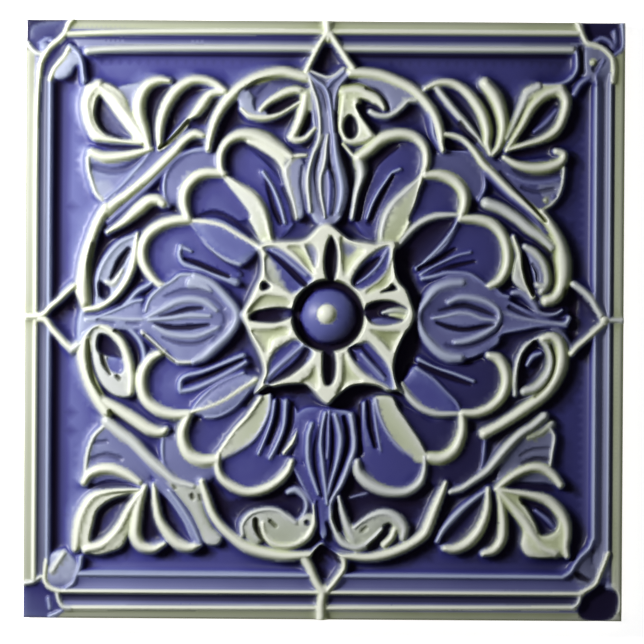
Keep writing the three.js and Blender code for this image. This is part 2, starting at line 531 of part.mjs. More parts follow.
// A four-lobed leaf in each corner of the field
function cornerLeaves() {
  return [
    ridge([[-44, 43], [-47, 47.5], [-49.5, 51.5], [-52.5, 55], [-56, 58.4], [-58.8, 59]],
      [0.6, 1.2, 1.5, 1.5, 1.4, 1], LOBE_RISE),
    ridge([[-58.5, 59], [-60.2, 56], [-60.2, 52], [-59, 48.3], [-56.5, 46], [-52, 45.1], [-45, 43.8]],
      [1.1, 1.3, 1.3, 1.2, 0.8, 0.5, 0.5], LOBE_RISE),
    ridge([[-44.2, 42.5], [-46, 48], [-47.2, 52], [-47, 56], [-45, 59.3], [-42, 60.6], [-39.6, 60.2]],
      [0.6, 1.2, 1.4, 1.4, 1.2, 0.9, 0.6], LOBE_RISE),
    ridge([[-42, 42.5], [-42, 48], [-41.2, 52], [-39.5, 55.7], [-37, 58.7], [-33.8, 60.6],
      [-30.8, 60.7], [-28, 59.8],
      [-25, 57.5]], [0.6, 1, 1.2, 1.3, 1.2, 1, 0.9, 0.8, 0.7], LOBE_RISE),
    ridge([[-25.8, 57.3], [-29, 57], [-31, 54.8], [-33, 52], [-35.2, 49.8], [-38, 46.8], [-41, 43]],
      [0.5, 0.9, 1.2, 1, 0.6, 0.5, 0.5], LOBE_RISE),
    ridge([[-43.5, 43.2], [-48, 42], [-52, 41.2], [-56, 41], [-59.5, 42]],
      [0.5, 0.9, 1.1, 1.2, 1], LOBE_RISE),
    sheet([[-42, 42], [-50, 41], [-56, 40.5], [-60, 40.5], [-60, 37.5], [-58.8, 33.5], [-57.3, 31],
      [-54.5, 29],
      [-49, 33], [-43, 38.5]], WEB_RISE),

    ridge([[43, 41], [44, 44.5], [45, 49], [44.5, 53], [43, 57], [40.5, 60], [36.5, 58.5]],
      [0.6, 0.9, 1.3, 1.5, 1.5, 1.2, 0.8], LOBE_RISE),
    ridge([[25.5, 58.8], [28.5, 60.3], [32, 60.3], [35, 58.8], [38, 55.5], [40, 52], [41, 48],
      [41.5, 45], [42, 41.5]],
      [0.6, 0.7, 0.9, 1, 1.2, 1.3, 1.3, 0.9, 0.6], LOBE_RISE),
    ridge([[27, 59.5], [31, 55.5], [33.5, 52.5], [37, 49], [41, 43]], 0.8, LOBE_RISE),
    ridge([[44.5, 42], [47.5, 45.5], [50, 50], [52.3, 54.3], [55.5, 57.5], [59.5, 59]],
      [0.6, 0.9, 1.2, 1.4, 1.4, 1.2], LOBE_RISE),
    ridge([[60, 58.5], [61, 56], [60.3, 52], [58.5, 48.5], [55, 46.2], [51, 44.9], [45, 42.8]],
      [1.2, 1.2, 1.1, 0.9, 0.7, 0.6, 0.5], LOBE_RISE),
    ridge([[45, 41.5], [49, 39.7], [53, 38.9], [57, 39.3], [60, 40.8], [60.5, 42.5], [58.5, 43.3]],
      [0.6, 0.9, 1.2, 1.3, 1, 0.8, 0.6], LOBE_RISE),
    sheet([[43, 41], [49, 41.5], [56, 41], [60.5, 40], [60.5, 38], [60, 35], [59, 32], [57.5, 29.5],
      [55.3, 27.5],
      [50, 31.5], [44, 37]], WEB_RISE),

    ridge([[-60.5, -41], [-59.5, -39.5], [-57, -38.2], [-53.5, -38], [-50, -39.3], [-45, -42]],
      [0.8, 0.9, 1.2, 1.2, 1, 0.6], LOBE_RISE),
    ridge([[-44.5, -42.5], [-47, -45], [-49, -48], [-51, -52], [-53, -55], [-56, -57.2], [-60, -58.6]],
      [0.6, 0.9, 0.9, 1.1, 1.2, 1.3, 1], LOBE_RISE),
    ridge([[-45, -43], [-54.5, -43.9], [-58, -45], [-60, -47.5], [-61.5, -51], [-62.2, -55], [-62, -58.4]],
      [0.5, 0.7, 1, 1.2, 1.3, 1.2, 1], LOBE_RISE),
    ridge([[-44.8, -41.5], [-46.7, -47], [-47.3, -51], [-47.5, -55], [-46, -57.5], [-43, -58.3],
      [-40, -56.5]],
      [0.8, 1.1, 1.2, 1.5, 1.2, 0.9, 0.6], LOBE_RISE),
    ridge([[-43, -41], [-42.3, -47], [-41.3, -51], [-39, -54.5], [-36.5, -57], [-33.5, -57.9],
      [-31, -56.8]],
      [0.6, 0.9, 1, 1.2, 1.3, 1, 0.8], LOBE_RISE),
    sheet([[-43.5, -41.5], [-38, -39.5], [-34.5, -41], [-31.3, -41.5], [-31, -44], [-30.2, -48],
      [-28, -52.5],
      [-26.5, -55.5], [-28, -57.2], [-30.5, -57], [-31.5, -53], [-33.5, -49], [-36.5, -45],
      [-39.5, -43]], BLADE_RISE),
    sheet([[-43, -42], [-50, -41], [-58, -42], [-60.4, -41], [-60.2, -37], [-59.5, -33], [-58, -29.5],
      [-55.5, -26],
      [-51, -29.5], [-44, -36]], WEB_RISE),

    ridge([[44, -41.5], [46.5, -40.3], [49.5, -38.3], [53, -37], [56, -37.3], [58.5, -39], [60, -41]],
      [0.6, 0.9, 1, 1.1, 1.1, 1, 0.8], LOBE_RISE),
    ridge([[43.5, -42], [49, -43.3], [53, -44], [57, -45.3], [60, -48], [61.5, -51], [61.8, -54],
      [61.5, -57], [62, -59]],
      [0.6, 0.7, 0.8, 1.1, 1.3, 1.3, 1.2, 1, 0.8], LOBE_RISE),
    ridge([[44, -42], [46.5, -45], [49, -48], [51.5, -51], [53.5, -54.5], [57, -57.8], [61.5, -59]],
      [0.8, 1.2, 1.4, 1.4, 1.3, 1.2, 1], LOBE_RISE),
    ridge([[44.2, -41.5], [45.4, -48], [45.7, -52], [45.3, -55.5], [43.5, -58], [39.5, -58.4]],
      1.1, LOBE_RISE),
    ridge([[42.5, -41], [41.5, -47], [40.8, -50.5], [39, -54], [36.5, -56.5], [33.5, -57.8], [30, -57.4]],
      [0.6, 0.9, 1.1, 1.3, 1.3, 1.1, 0.8], LOBE_RISE),
    ridge([[41.5, -42], [36, -47], [33, -50], [30.5, -53], [29, -56.5]],
      [0.6, 0.7, 0.8, 0.7, 0.6], LOBE_RISE),
    sheet([[42.5, -41.5], [50, -41.5], [58, -41.5], [60.3, -40], [58.7, -33], [59, -29], [56.5, -24.5],
      [51, -28.5],
      [45, -35]], WEB_RISE),
  ];
}

// The broad lobe of each corner leaf
function leafLobes() {
  return [
    sheet([[-44.5, 43.3], [-47, 47.5], [-49.5, 51.5], [-52, 57.8], [-55, 59.8], [-58, 60], [-60.8, 59.3],
      [-61.6, 56], [-61.7, 52.5], [-60.8, 48.8], [-59.2, 45.5], [-54, 44.7]], BLADE_RISE),
    sheet([[46.5, 44], [47, 47], [50, 55], [50, 58.5], [53, 60.3], [59, 60], [61.5, 58.5], [62.3, 56.5],
      [61.7, 53], [60.8, 49.5], [58.5, 46.5], [54.5, 45]], BLADE_RISE),
    sheet([[-46.5, -43.8], [-52, -43.8], [-58, -44], [-60.5, -45.5], [-62, -49], [-63.6, -57], [-63.4, -58.7],
      [-57, -60], [-54, -59.3], [-51, -58], [-49.5, -55], [-48.5, -50]], BLADE_RISE),
    sheet([[45, -43], [51, -44], [57, -45.3], [60, -48], [61.5, -51], [62, -59], [58, -60], [52, -59.5],
      [50.3, -57], [50.5, -53], [48, -48]], BLADE_RISE),
  ];
}

// The sunk eye of each broad lobe
function leafEyes() {
  return [
    pocket([[-57.2, 55.5], [-57.8, 51], [-55.8, 47.6], [-53, 46.3], [-49.5, 46.3], [-53.5, 51.3]],
      BLADE_RISE, EYE_DEPTH),
    pocket([[48.5, 46.5], [52.5, 52], [55.5, 55.5], [58.3, 56.5], [58.6, 52], [56, 48.9], [53, 47.2]],
      BLADE_RISE, EYE_DEPTH),
    pocket([[-48.5, -45.2], [-53, -46.4], [-56.4, -49], [-57.5, -52], [-57.8, -55.5], [-51.8, -50.5]],
      BLADE_RISE, EYE_DEPTH),
    pocket([[50.5, -45.6], [56, -47], [58.5, -50], [57.6, -53.3], [55.5, -53.5], [52.5, -48.5]],
      BLADE_RISE, EYE_DEPTH),
  ];
}

// Outline of the star, round its eight points from the top
const STAR_OUTLINE = [
  [1, 24.4], [3.6, 22.9], [6.6, 20.6], [11, 19.9], [13.5, 19.5], [17.6, 20.1], [17.9, 17.4], [18.2, 12.2],
  [20.9, 8], [22.9, 2.3], [22, -1.7], [19.3, -6], [17.9, -12], [18.9, -16.5], [20, -18.3], [16.3, -17.9],
  [12.5, -16.5], [7, -16.8], [3, -19.8], [1.3, -21.4], [-1.5, -19.3], [-4.5, -16.5], [-10, -16.6],
  [-14, -16.8], [-17.6, -18.7], [-15.7, -14.7], [-15.3, -13], [-17, -7.5], [-19.6, -2], [-20.9, 1.4],
  [-19, 5.2], [-16.3, 11], [-16, 15], [-17.2, 17.9], [-15, 19.5], [-9, 20.1], [-4.5, 20.9], [-1.5, 23.8],
];

// Slots on the star's axes
function starSlots() {
  return [
    pocket([[1.7, 21], [0.4, 18.5], [0, 14.5], [1, 10.2], [2.3, 10.2], [3.2, 14.5], [3, 18]],
      STAR_RISE, SLOT_DEPTH),
    pocket([[0, -7.8], [-0.2, -12], [0.5, -16], [2, -16], [3, -12], [2.5, -7.8]], STAR_RISE, SLOT_DEPTH),
    pocket([[-18.8, 0.8], [-16, 2.5], [-12, 3.1], [-7.9, 2.5], [-8.2, 1], [-12, -0.6], [-17, -0.4]],
      STAR_RISE, SLOT_DEPTH),
    pocket([[10, 2.3], [11.5, 4.2], [15, 5], [19.5, 4], [17, 2.3], [13, 0.8], [10.5, 1.2]],
      STAR_RISE, SLOT_DEPTH),
  ];
}

// Hollow leaves on the star's diagonals and the hollow facets between its ribs
function starHollows() {
  return [
    pocket([[-15.3, 18.2], [-11, 17.8], [-6.5, 14.4], [-2.9, 10.6], [-4.8, 8.6], [-8, 6.7], [-11.3, 11],
      [-13.6, 15.3]], STAR_RISE, HOLLOW_DEPTH),
    pocket([[16.2, 18.9], [12.5, 17.2], [8.8, 13.5], [7, 9.9], [9, 7.8], [12.8, 9.6], [15.9, 13],
      [16.6, 17.5]], STAR_RISE, HOLLOW_DEPTH),
    pocket([[-14.2, -14], [-13.3, -9.5], [-10, -6.1], [-7, -5], [-4, -6.7], [-2.9, -8.8], [-6.5, -12.5],
      [-12, -15.6], [-15, -16]], STAR_RISE, HOLLOW_DEPTH),
    pocket([[6.2, -6.9], [9.5, -5.8], [12.4, -6.4], [15.8, -10.7], [17.6, -17.4], [13, -15], [8.5, -11.3]],
      STAR_RISE, HOLLOW_DEPTH),
    pocket([[-18.3, 3.2], [-15.3, 6], [-12, 5.9], [-8.5, 4.6], [-12, 3.9]], STAR_RISE, HOLLOW_DEPTH),
    pocket([[-18.2, -2.9], [-9, -2.2], [-13.3, -5.2], [-14.7, -8.1], [-16.8, -5]],
      STAR_RISE, HOLLOW_DEPTH),
    pocket([[-9, 18.4], [-3.5, 19], [-2, 16], [-2.9, 12], [-6, 15.6]], STAR_RISE, HOLLOW_DEPTH),
    pocket([[-15.1, 15.5], [-14.5, 11.5], [-9.5, 7.8], [-12, 12], [-14.4, 15.8]], STAR_RISE, HOLLOW_DEPTH),
    pocket([[4.3, 21], [10, 17.8], [7, 14.2], [5.3, 11.8], [4.4, 16.5]], STAR_RISE, HOLLOW_DEPTH),
    pocket([[11, 7], [15, 8.6], [17.2, 12], [16.9, 15], [14, 10.2]], STAR_RISE, HOLLOW_DEPTH),
    pocket([[12, -2.6], [19.5, -3.1], [17.2, -7.6], [14, -4.2]], STAR_RISE, HOLLOW_DEPTH),
    pocket([[5.2, -8.6], [7, -13], [9.5, -15.2], [4.2, -18], [4.9, -13]], STAR_RISE, HOLLOW_DEPTH),
    pocket([[-2, -12], [-1.8, -17], [-5.5, -15.6]], STAR_RISE, HOLLOW_DEPTH),
    pocket([[14, 0.2], [17.5, 1.9], [20.5, 2.2], [19.8, 0], [17, -0.9], [14, -1]], STAR_RISE, HOLLOW_DEPTH),
  ];
}

// The moat round the boss, as a hole in the star
function moat() {
  const floor = FIELD_LEVEL + STAR_RISE - MOAT_DEPTH;
  const open = FIELD_LEVEL + BOSS_RISE + CLEAR;
  const outer = (BOSS_RADIUS + MOAT_WIDTH) * stretch;
  return turned([[0, floor], [outer, floor], [outer, open], [0, open]], BOSS_CENTRE, BOSS_SIDES);
}

// The domed boss with a bead on top
function boss() {
  const base = FIELD_LEVEL - ROOT;
  const crown = BOSS_RISE - BEAD_STAND;
  const profile = [[0, base], [BOSS_RADIUS * stretch, base]];
  for (let i = 1; i <= BOSS_LEVELS; i += 1) {
    const turn = (i / BOSS_LEVELS) * Math.PI / 2;
    const shoulder = BOSS_FOOT_RISE + (crown - BOSS_FOOT_RISE) * Math.sin(turn);
    profile.push([BOSS_RADIUS * stretch * Math.cos(turn), FIELD_LEVEL + shoulder]);
  }
  return turned(profile, BOSS_CENTRE, BOSS_SIDES);
}

function bead() {
  const top = FIELD_LEVEL + BOSS_RISE;
  const profile = [[0, FIELD_LEVEL], [BEAD_RADIUS * stretch, FIELD_LEVEL]];
  for (let i = 1; i <= BEAD_LEVELS; i += 1) {
    const turn = (i / BEAD_LEVELS) * Math.PI / 2;
    profile.push([BEAD_RADIUS * stretch * Math.cos(turn), top - BEAD_STAND * (1 - Math.sin(turn))]);
  }
  return turned(profile, BEAD_CENTRE, BEAD_SIDES);
}

// The raised ground of the rosette, inside the ring
function rosetteGround() {
  return sheet([[-8.5, 41], [-19, 46], [-26, 43], [-30, 42.9], [-37.5, 40.5], [-40.3, 34], [-40, 28],
      [-45.5, 19],
    [-44, 11], [-41, 0], [-44, -10], [-45.5, -19], [-40, -28], [-40, -37], [-33, -41.5], [-26, -41],
      [-19, -43],
    [-9, -38], [0, -40], [9, -38], [18, -43], [25.5, -40], [32, -41], [39, -39], [40.3, -33], [41, -27],
      [45.5, -18],
    [44, -10], [41, 0], [44.5, 11], [45.5, 19], [40, 28], [40.3, 34], [38, 41], [30.5, 43.2], [25, 43],
      [18, 46.5],
    [9, 41]], SHEET_RISE);
}

function tileBody() {
  const relief = unite([
    rosetteGround(),
    ...cornerKnots(),
    ...diamondRibbons(),
    ...ringRibbons(),
    ...archScrolls(),
    ...sideScrolls(),
    ...petalRibbons(),
    ...leafBlades(),
    ...buds(),
    ...cornerLeaves(),
    ...leafLobes(),
    block(STAR_OUTLINE, FIELD_LEVEL - ROOT, FIELD_LEVEL + STAR_RISE, STAR_FOOT_SHARE, BOSS_CENTRE),
  ]);
  const raised = unite([plateBody(), frameMoulding(), relief.intersect(tileColumn())]);
  const sunk = unite([
    ...starSlots(),
    ...starHollows(),
    ...budFlutes(),
    ...leafEyes(),
    moat(),
    ...keyingGrooves(),
  ]);
  const cut = raised.subtract(sunk);
  return unite([cut, boss(), bead()]);
}

const tile = new THREE.Mesh(toGeometry(tileBody()), glaze);
tile.name = "tile";

const part = new THREE.Group();
part.add(tile);

export default part;
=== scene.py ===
# Looks of the moulded ceramic tile: glazed relief and bare back, a pale floor, soft light and the camera.
# The relief is drawn in millimetres, seen from the front: x to the right, y up, z out of the face.

import math

import bmesh
import bpy
import numpy as np
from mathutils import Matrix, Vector


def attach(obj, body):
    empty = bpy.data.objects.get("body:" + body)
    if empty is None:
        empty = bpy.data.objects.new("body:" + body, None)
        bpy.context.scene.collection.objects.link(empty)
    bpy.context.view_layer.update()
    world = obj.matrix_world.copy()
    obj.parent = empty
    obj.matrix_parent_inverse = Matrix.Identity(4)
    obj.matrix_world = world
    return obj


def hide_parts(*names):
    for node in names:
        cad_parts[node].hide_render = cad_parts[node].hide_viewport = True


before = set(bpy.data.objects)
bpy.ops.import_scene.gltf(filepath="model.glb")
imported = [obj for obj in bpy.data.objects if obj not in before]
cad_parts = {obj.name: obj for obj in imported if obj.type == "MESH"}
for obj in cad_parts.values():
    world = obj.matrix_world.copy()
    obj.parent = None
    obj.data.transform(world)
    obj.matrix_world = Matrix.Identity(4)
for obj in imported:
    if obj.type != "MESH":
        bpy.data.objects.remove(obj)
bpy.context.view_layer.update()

# Relief grid
TILE = 152.0
SPLITS = 10
COUNT = 2 ** SPLITS + 1
STEP = TILE / (COUNT - 1)
AXIS = np.linspace(-TILE / 2, TILE / 2, COUNT)
TRACE_STEP = 0.16
OUTLINE_SKIP = 3
CHUNK = 16
FAR = 99.0
REACH_MARGIN = 0.5

# Heights above the back
FIELD = 7.0
GROUND = 6.7
SHEET = 7.9
FLOOR = 7.7
CHANNEL = 8.3
LEAF = 10.0
BEAD = 9.4
RIM = 10.1

MM = 0.001

# Underside, as in the solid model
ARRIS = 0.6
GROOVE_COUNT = 10
GROOVE_WIDTH = 7
GROOVE_DEPTH = 1
GROOVE_PITCH = 14
GROOVE_MARGIN = 8

# Mesh
FACE_TRIANGLES = 189_500
SEARCH_STEPS = 16
SHARP_ANGLE = 0.6
LOW_PART = 5.5
LEVEL_SCALE = 0.5
LEAST_UPWARD = 0.01

# Section of a ridge: how far it falls at its half width, and the slope of the wall below
DROP_SHARE = 0.75
DROP_MOST = 1.2
WALL_SLOPE = 2.6
LEAST_RISE = 0.5
ABOVE_SLACK = 0.05
EDGE = 0.3
EDGE_RADIUS = 0.7
ROUNDING = 2.0

# Section of a slot: how far out it reaches in half widths, and how round its walls are
SLOT_REACH = 1.6
SLOT_MARGIN = 0.3
SLOT_ROUND = 0.6

# Where the glaze painted on each kind of form ends, and for slots and the moat the painted shade in them,
# in half widths, and over how many it fades
RIDGE_GLAZE = (1.5, 0.5)
SLOT_GLAZE = (1.25, 0.5)
DOME_GLAZE = (1.02, 0.04)
MOAT_GLAZE = (1.1, 0.3)

# The boss, the bead on it and the moat round it, with the radius and height of the bed below them
BOSS_CENTRE = (1.1, 1.1)
BOSS_RADIUS = 7.2
BOSS_FOOT = 7.6
BOSS_CROWN = 11.9
BEAD_CENTRE = (0.6, 1.6)
BEAD_RADIUS = 2.5
BEAD_FOOT = 11.2
BEAD_CROWN = 13.0
BEAD_POWER = 2.2
MOAT_BED = (8.9, 8.6)
MOAT_RADIUS = 8
MOAT_SAMPLES = 160
MOAT_REACH = 3
MOAT_EDGE = 1.3
MOAT_GAIN = 1.2
MOAT_FLOOR = 7.2
# How dark the moat is painted: painted shade
MOAT_SHADE = 0.98

# How the glaze softens the relief and its colours, and how far the cream is spread as painted light on the
# lit side, in millimetres
FILL_SHARE = 0.6
FILL_REACH = 0.8
SOFT_REACH = 0.2
COLOUR_SOFT_REACH = 0.15
LIT_SPREAD_REACH = 0.6

# Painted shade and light beside the forms: a shadow painted below and to the right of them, away from the
# light, and a glow on the side towards it. From which side the light comes, how far out they reach, how
# steeply they end and how dark the painted shadow is; then a wider painted shade, the painted falloff of
# light across the tile and the lighter sheets
LIGHT_WAY = (-0.9, 0.44)
CAST_START = 0.5
CAST_STEP = 0.4
CAST_REACH = 5.4
CAST_SOFT = 0.25
CAST_SLOPE = 0.55
CAST_FULL = 1.2
SHADOW_DARK = 0.97
CREAM_CLEARS = 0.7
WIDE_SHADE_SLOPE = 0.32
WIDE_SHADE_FULL = 1.6
WIDE_SHADE_GAIN = 0.24
LIT_GLOW_GAIN = 0.16
SIDE_LIGHT_FALLOFF = 0.4
CREAM_STEADIES = 0.3
SHEET_GAIN = 0.7
SHEET_CREAM = 0.4

# The border, where the painted shadow, the wider painted shade and the painted falloff of light are weaker:
# where it starts and the shares that are left there
BORDER_START = 69.2
BORDER_LOW = 3.8
BORDER_SHADOW = 0.12
BORDER_WIDE_SHADE = 0.2
BORDER_LIGHT_FALLOFF = 0.4

# How thin the glaze runs: on flat ground, and by how much more on rises and less in hollows
FLAT_CREST = 0.44
RISE_GAIN = 0.46
HOLLOW_GAIN = 0.36
HOLLOW_LEAST = 0.2
WIDE_GAIN = 0.16
CLOSE_REACH = 1.0
WIDE_REACH = 3.0

# The boss's dome is deeper blue than its height would give. Flanks that face away from the light are
# painted darker on the dome and olive on the cream: painted shade
DOME_START = 2.7
DOME_CREST = 0.56
DOME_SHADE = 0.8
LEE_GAIN = 1.3
LEE_WAY = (-0.75, 0.5)
LEE_START = 0.06

# Glazes, as shares of the cream glaze in the blue one
CREAM = 1.0
IVORY = 0.88
PALE = 0.7
SLATE = 0.19
HAZE = 0.09
BLUE = 0.0


def colour(red, green, blue):
    """A colour from its screen values, 0 to 255."""
    return tuple((value / 255) ** 2.2 for value in (red, green, blue)) + (1.0,)


# Colours of the glaze from where it pools to where it runs thin; the painted shade and painted light in the
# crest move the glaze along these too
BLUE_GLAZE = [
    (0.1, colour(26, 24, 80)),
    (0.43, colour(68, 68, 144)),
    (0.6, colour(106, 112, 176)),
    (0.85, colour(158, 169, 208)),
]
CREAM_GLAZE = [
    (0.12, colour(96, 102, 52)),
    (0.32, colour(163, 173, 112)),
    (0.46, colour(220, 228, 188)),
    (0.66, colour(247, 250, 232)),
]
# Olive painted on cream flanks that face away from the light: painted shade
OLIVE_GLAZE = colour(140, 154, 70)
# The purple-black of painted shade, which also stands for glaze pooled in the slots
SHADE_AND_POOL_COLOUR = colour(33, 27, 37)
OLIVE_STRENGTH = 0.85
SHADE_AND_POOL_STRENGTH = 0.95
GLAZE_ROUGHNESS = 0.44
GLAZE_SHINE = 0.55
COAT_WEIGHT = 0.03
COAT_ROUGHNESS = 0.3
BARE_CLAY = [(0.35, colour(196, 182, 160)), (0.65, colour(222, 210, 190))]

# Clouds and ripples in the glaze, and the grain of the bare clay
CLOUD_SCALE = 45
CLOUD_GAIN = 0.16
SPECKLE_SCALE = 420
SPECKLE_SHARE = 0.15
RIPPLE_SCALE = 130
RIPPLE_STRENGTH = 0.12
RIPPLE_HEIGHT = 0.0004
CLAY_SCALE = 260
CLAY_ROUGHNESS = 0.9
GRAIN_SCALE = 900
GRAIN_STRENGTH = 0.5
GRAIN_HEIGHT = 0.0003

# Where the glaze ends on the sides, above the back, how much that line wanders and how soft it is
GLAZE_LINE = 2.6
LINE_SOFT = 0.12
WAVE_SCALE = 110
WAVE_HEIGHT = 0.0024

# Floor, light and camera
FLOOR_REACH = 1.5
FLOOR_DROP = 0.0002
FLOOR_COLOUR = (0.9, 0.9, 0.9, 1)
KEY_PLACE = (-0.2, 0.07, 0.19)
KEY_TARGET = (0, 0, 0)
KEY_SIZE = 0.06
KEY_POWER = 0.74
HAZE_PLACE = (-0.15, 0.03, 0.75)
HAZE_TARGET = (-0.04, 0, 0)
HAZE_SIZE = 0.17
HAZE_POWER = 0.4
ROOM_LIGHT = 0.08
ROOM_COLOUR = (0.85, 0.88, 1.0, 1)
FLOOR_GLOW = 0.85
LENS = 150.0
SENSOR = 36.0
CLIP_START = 0.01
VIEW_WIDTH = 163.7
VIEW_CENTRE = (-0.58, -0.41)
VIEW_TURN = 0.37

level = np.full((COUNT, COUNT), FIELD)
cream = np.zeros((COUNT, COUNT))
shade_and_pool = np.zeros((COUNT, COUNT))


def read_points(text):
    return np.array([[float(number) for number in pair.split(",")] for pair in text.split()])


def trace(text, closed=False):
    """Even samples along a smooth curve through the points, with the share of the way at each."""
    knots = read_points(text)
    if closed:
        line = np.vstack([knots[-1:], knots, knots[:2]])
    else:
        line = np.vstack([2 * knots[:1] - knots[1:2], knots, 2 * knots[-1:] - knots[-2:-1]])
    times = np.concatenate([[0], np.cumsum(np.sqrt(np.linalg.norm(np.diff(line, axis=0), axis=1)))])
    spans = len(line) - 3
    samples = []
    shares = []
    for i in range(spans):
        p0, p1, p2, p3 = line[i:i + 4]
        t0, t1, t2, t3 = times[i:i + 4]
        count = max(2, int(np.linalg.norm(p2 - p1) / TRACE_STEP))
        t = np.linspace(t1, t2, count, endpoint=False)[:, None]
        a1 = ((t1 - t) * p0 + (t - t0) * p1) / (t1 - t0)
        a2 = ((t2 - t) * p1 + (t - t1) * p2) / (t2 - t1)
        a3 = ((t3 - t) * p2 + (t - t2) * p3) / (t3 - t2)
        b1 = ((t2 - t) * a1 + (t - t0) * a2) / (t2 - t0)
        b2 = ((t3 - t) * a2 + (t - t1) * a3) / (t3 - t1)
        samples.append(((t2 - t) * b1 + (t - t1) * b2) / (t2 - t1))
        shares.append((i + np.arange(count) / count) / spans)
    if not closed:
        samples.append(knots[-1:])
        shares.append(np.array([1.0]))
    return np.vstack(samples), np.concatenate(shares)


def spread(values, shares):
    values = np.atleast_1d(values).astype(float)
    return np.interp(shares, np.linspace(0, 1, len(values)), values)


def window(samples, reach):
    low = np.searchsorted(AXIS, samples.min(axis=0) - reach)
    high = np.searchsorted(AXIS, samples.max(axis=0) + reach)
    return slice(low[1], high[1]), slice(low[0], high[0])


def nearest(samples, halves, reach):
    """Distance to the nearest sample as a share of the half width there, and which sample it is."""
    rows, cols = window(samples, reach)
    share = np.full((rows.stop - rows.start, cols.stop - cols.start), FAR)
    which = np.zeros(share.shape, dtype=int)
    for start in range(0, len(samples), CHUNK):
        some = samples[start:start + CHUNK]
        near_rows, near_cols = window(some, reach)
        x = AXIS[near_cols][None, :, None] - some[:, 0]
        y = AXIS[near_rows][:, None, None] - some[:, 1]
        gap = np.hypot(x, y) / halves[start:start + CHUNK]
        best = gap.argmin(axis=2)
        least = np.take_along_axis(gap, best[:, :, None], axis=2)[:, :, 0]
        inner = (slice(near_rows.start - rows.start, near_rows.stop - rows.start),
                 slice(near_cols.start - cols.start, near_cols.stop - cols.start))
        closer = least < share[inner]
        share[inner] = np.where(closer, least, share[inner])
        which[inner] = np.where(closer, best + start, which[inner])
    return (rows, cols), share, which


def smooth_step(value):
    value = np.clip(value, 0, 1)
    return value * value * (3 - 2 * value)


def fade(share, end, width):
    """One inside, falling smoothly to nothing at the end."""
    return smooth_step((end - share) / width)


def paint(layer, place, amount, weight):
    if amount is not None:
        layer[place] = layer[place] * (1 - weight) + amount * weight


def ridge(text, half, crest, glaze=None):
    """A rounded ridge or bead along a line. The half width and the crest may change along it."""
    samples, shares = trace(text)
    halves = spread(half, shares)
    crests = spread(crest, shares)
    reach = halves.max() + max(crests.max() - GROUND, LEAST_RISE) / WALL_SLOPE + REACH_MARGIN
    place, share, which = nearest(samples, halves, reach)
    width = halves[which]
    drop = np.minimum(DROP_SHARE * width, DROP_MOST)
    wall = np.maximum(share - 1, 0) * width * WALL_SLOPE
    surface = crests[which] - drop * np.minimum(share, 1) ** 2 - wall
    above = surface > level[place] - ABOVE_SLACK
    level[place] = np.maximum(level[place], surface)
    weight = fade(share, *RIDGE_GLAZE) * above
    paint(cream, place, glaze, weight)
    paint(shade_and_pool, place, 0.0, weight)


def groove(text, half, floor, dark=0.8):
    """A slot along a line, cut down to the floor at its middle, and darkened with painted shade and pooled
    glaze.
    """
    samples, shares = trace(text)
    halves = spread(half, shares)
    place, share, which = nearest(samples, halves, halves.max() * SLOT_REACH + SLOT_MARGIN)
    weight = np.clip(1 - share ** 2, 0, 1) ** SLOT_ROUND
    here = level[place]
    level[place] = here - np.maximum(here - floor, 0) * weight
    slot_shade = fade(share, *SLOT_GLAZE)
    paint(shade_and_pool, place, dark, slot_shade)


def inside(samples, rows, cols):
    """Which grid points of a window lie inside a closed line."""
    x = AXIS[cols][None, :]
    y = AXIS[rows][:, None]
    odd = np.zeros((rows.stop - rows.start, cols.stop - cols.start), dtype=bool)
    corners = samples[::OUTLINE_SKIP]
    for (x0, y0), (x1, y1) in zip(corners, np.roll(corners, -1, axis=0)):
        if y0 == y1:
            continue
        crosses = (y0 > y) != (y1 > y)
        odd ^= crosses & (x < (x1 - x0) * (y - y0) / (y1 - y0) + x0)
    return odd


def patch(text, height, glaze=None, dark=0.0, edge=EDGE, bulge=0.0, tilt=(0, 0)):
    """A sheet or pocket with this outline, flat, bulged or dished, and tilted by so much a millimetre. Its
    dark is painted shade and pooled glaze.
    """
    samples, _ = trace(text, closed=True)
    place, gap, _ = nearest(samples, np.ones(len(samples)), max(ROUNDING, edge) + REACH_MARGIN)
    rows, cols = place
    depth = np.where(inside(samples, rows, cols), gap, -gap)
    weight = smooth_step((depth + edge) / (2 * edge))
    centre = samples.mean(axis=0)
    slope = tilt[0] * (AXIS[cols][None, :] - centre[0]) + tilt[1] * (AXIS[rows][:, None] - centre[1])
    crown = bulge * (1 - (1 - np.clip(depth / ROUNDING, 0, 1)) ** 2)
    paint(level, place, height + slope + crown, weight)
    paint(cream, place, glaze, weight)
    paint(shade_and_pool, place, dark, weight)


def strip(x0, y0, x1, y1, height, glaze=None, dark=0.0):
    """A flat band of the frame, with straight edges."""
    across = np.minimum(AXIS - x0, x1 - AXIS)[None, :]
    up = np.minimum(AXIS - y0, y1 - AXIS)[:, None]
    inner = np.minimum(across, up)
    weight = smooth_step((inner + EDGE) / (2 * EDGE))
    place = (slice(None), slice(None))
    paint(level, place, height, weight)
    paint(cream, place, glaze, weight)
    paint(shade_and_pool, place, dark, weight)


def dome(centre, radius, foot, crown, glaze, power=2.0):
    """A round boss that falls from its crown to its foot."""
    samples = np.array([centre], dtype=float)
    place, share, _ = nearest(samples, np.array([radius]), radius + 1)
    surface = foot + (crown - foot) * np.maximum(1 - share ** power, 0) ** 0.5
    covered = share < 1
    level[place] = np.where(covered, surface, level[place])
    paint(cream, place, glaze, fade(share, *DOME_GLAZE))
    paint(shade_and_pool, place, 0.0, covered.astype(float))


# Frame

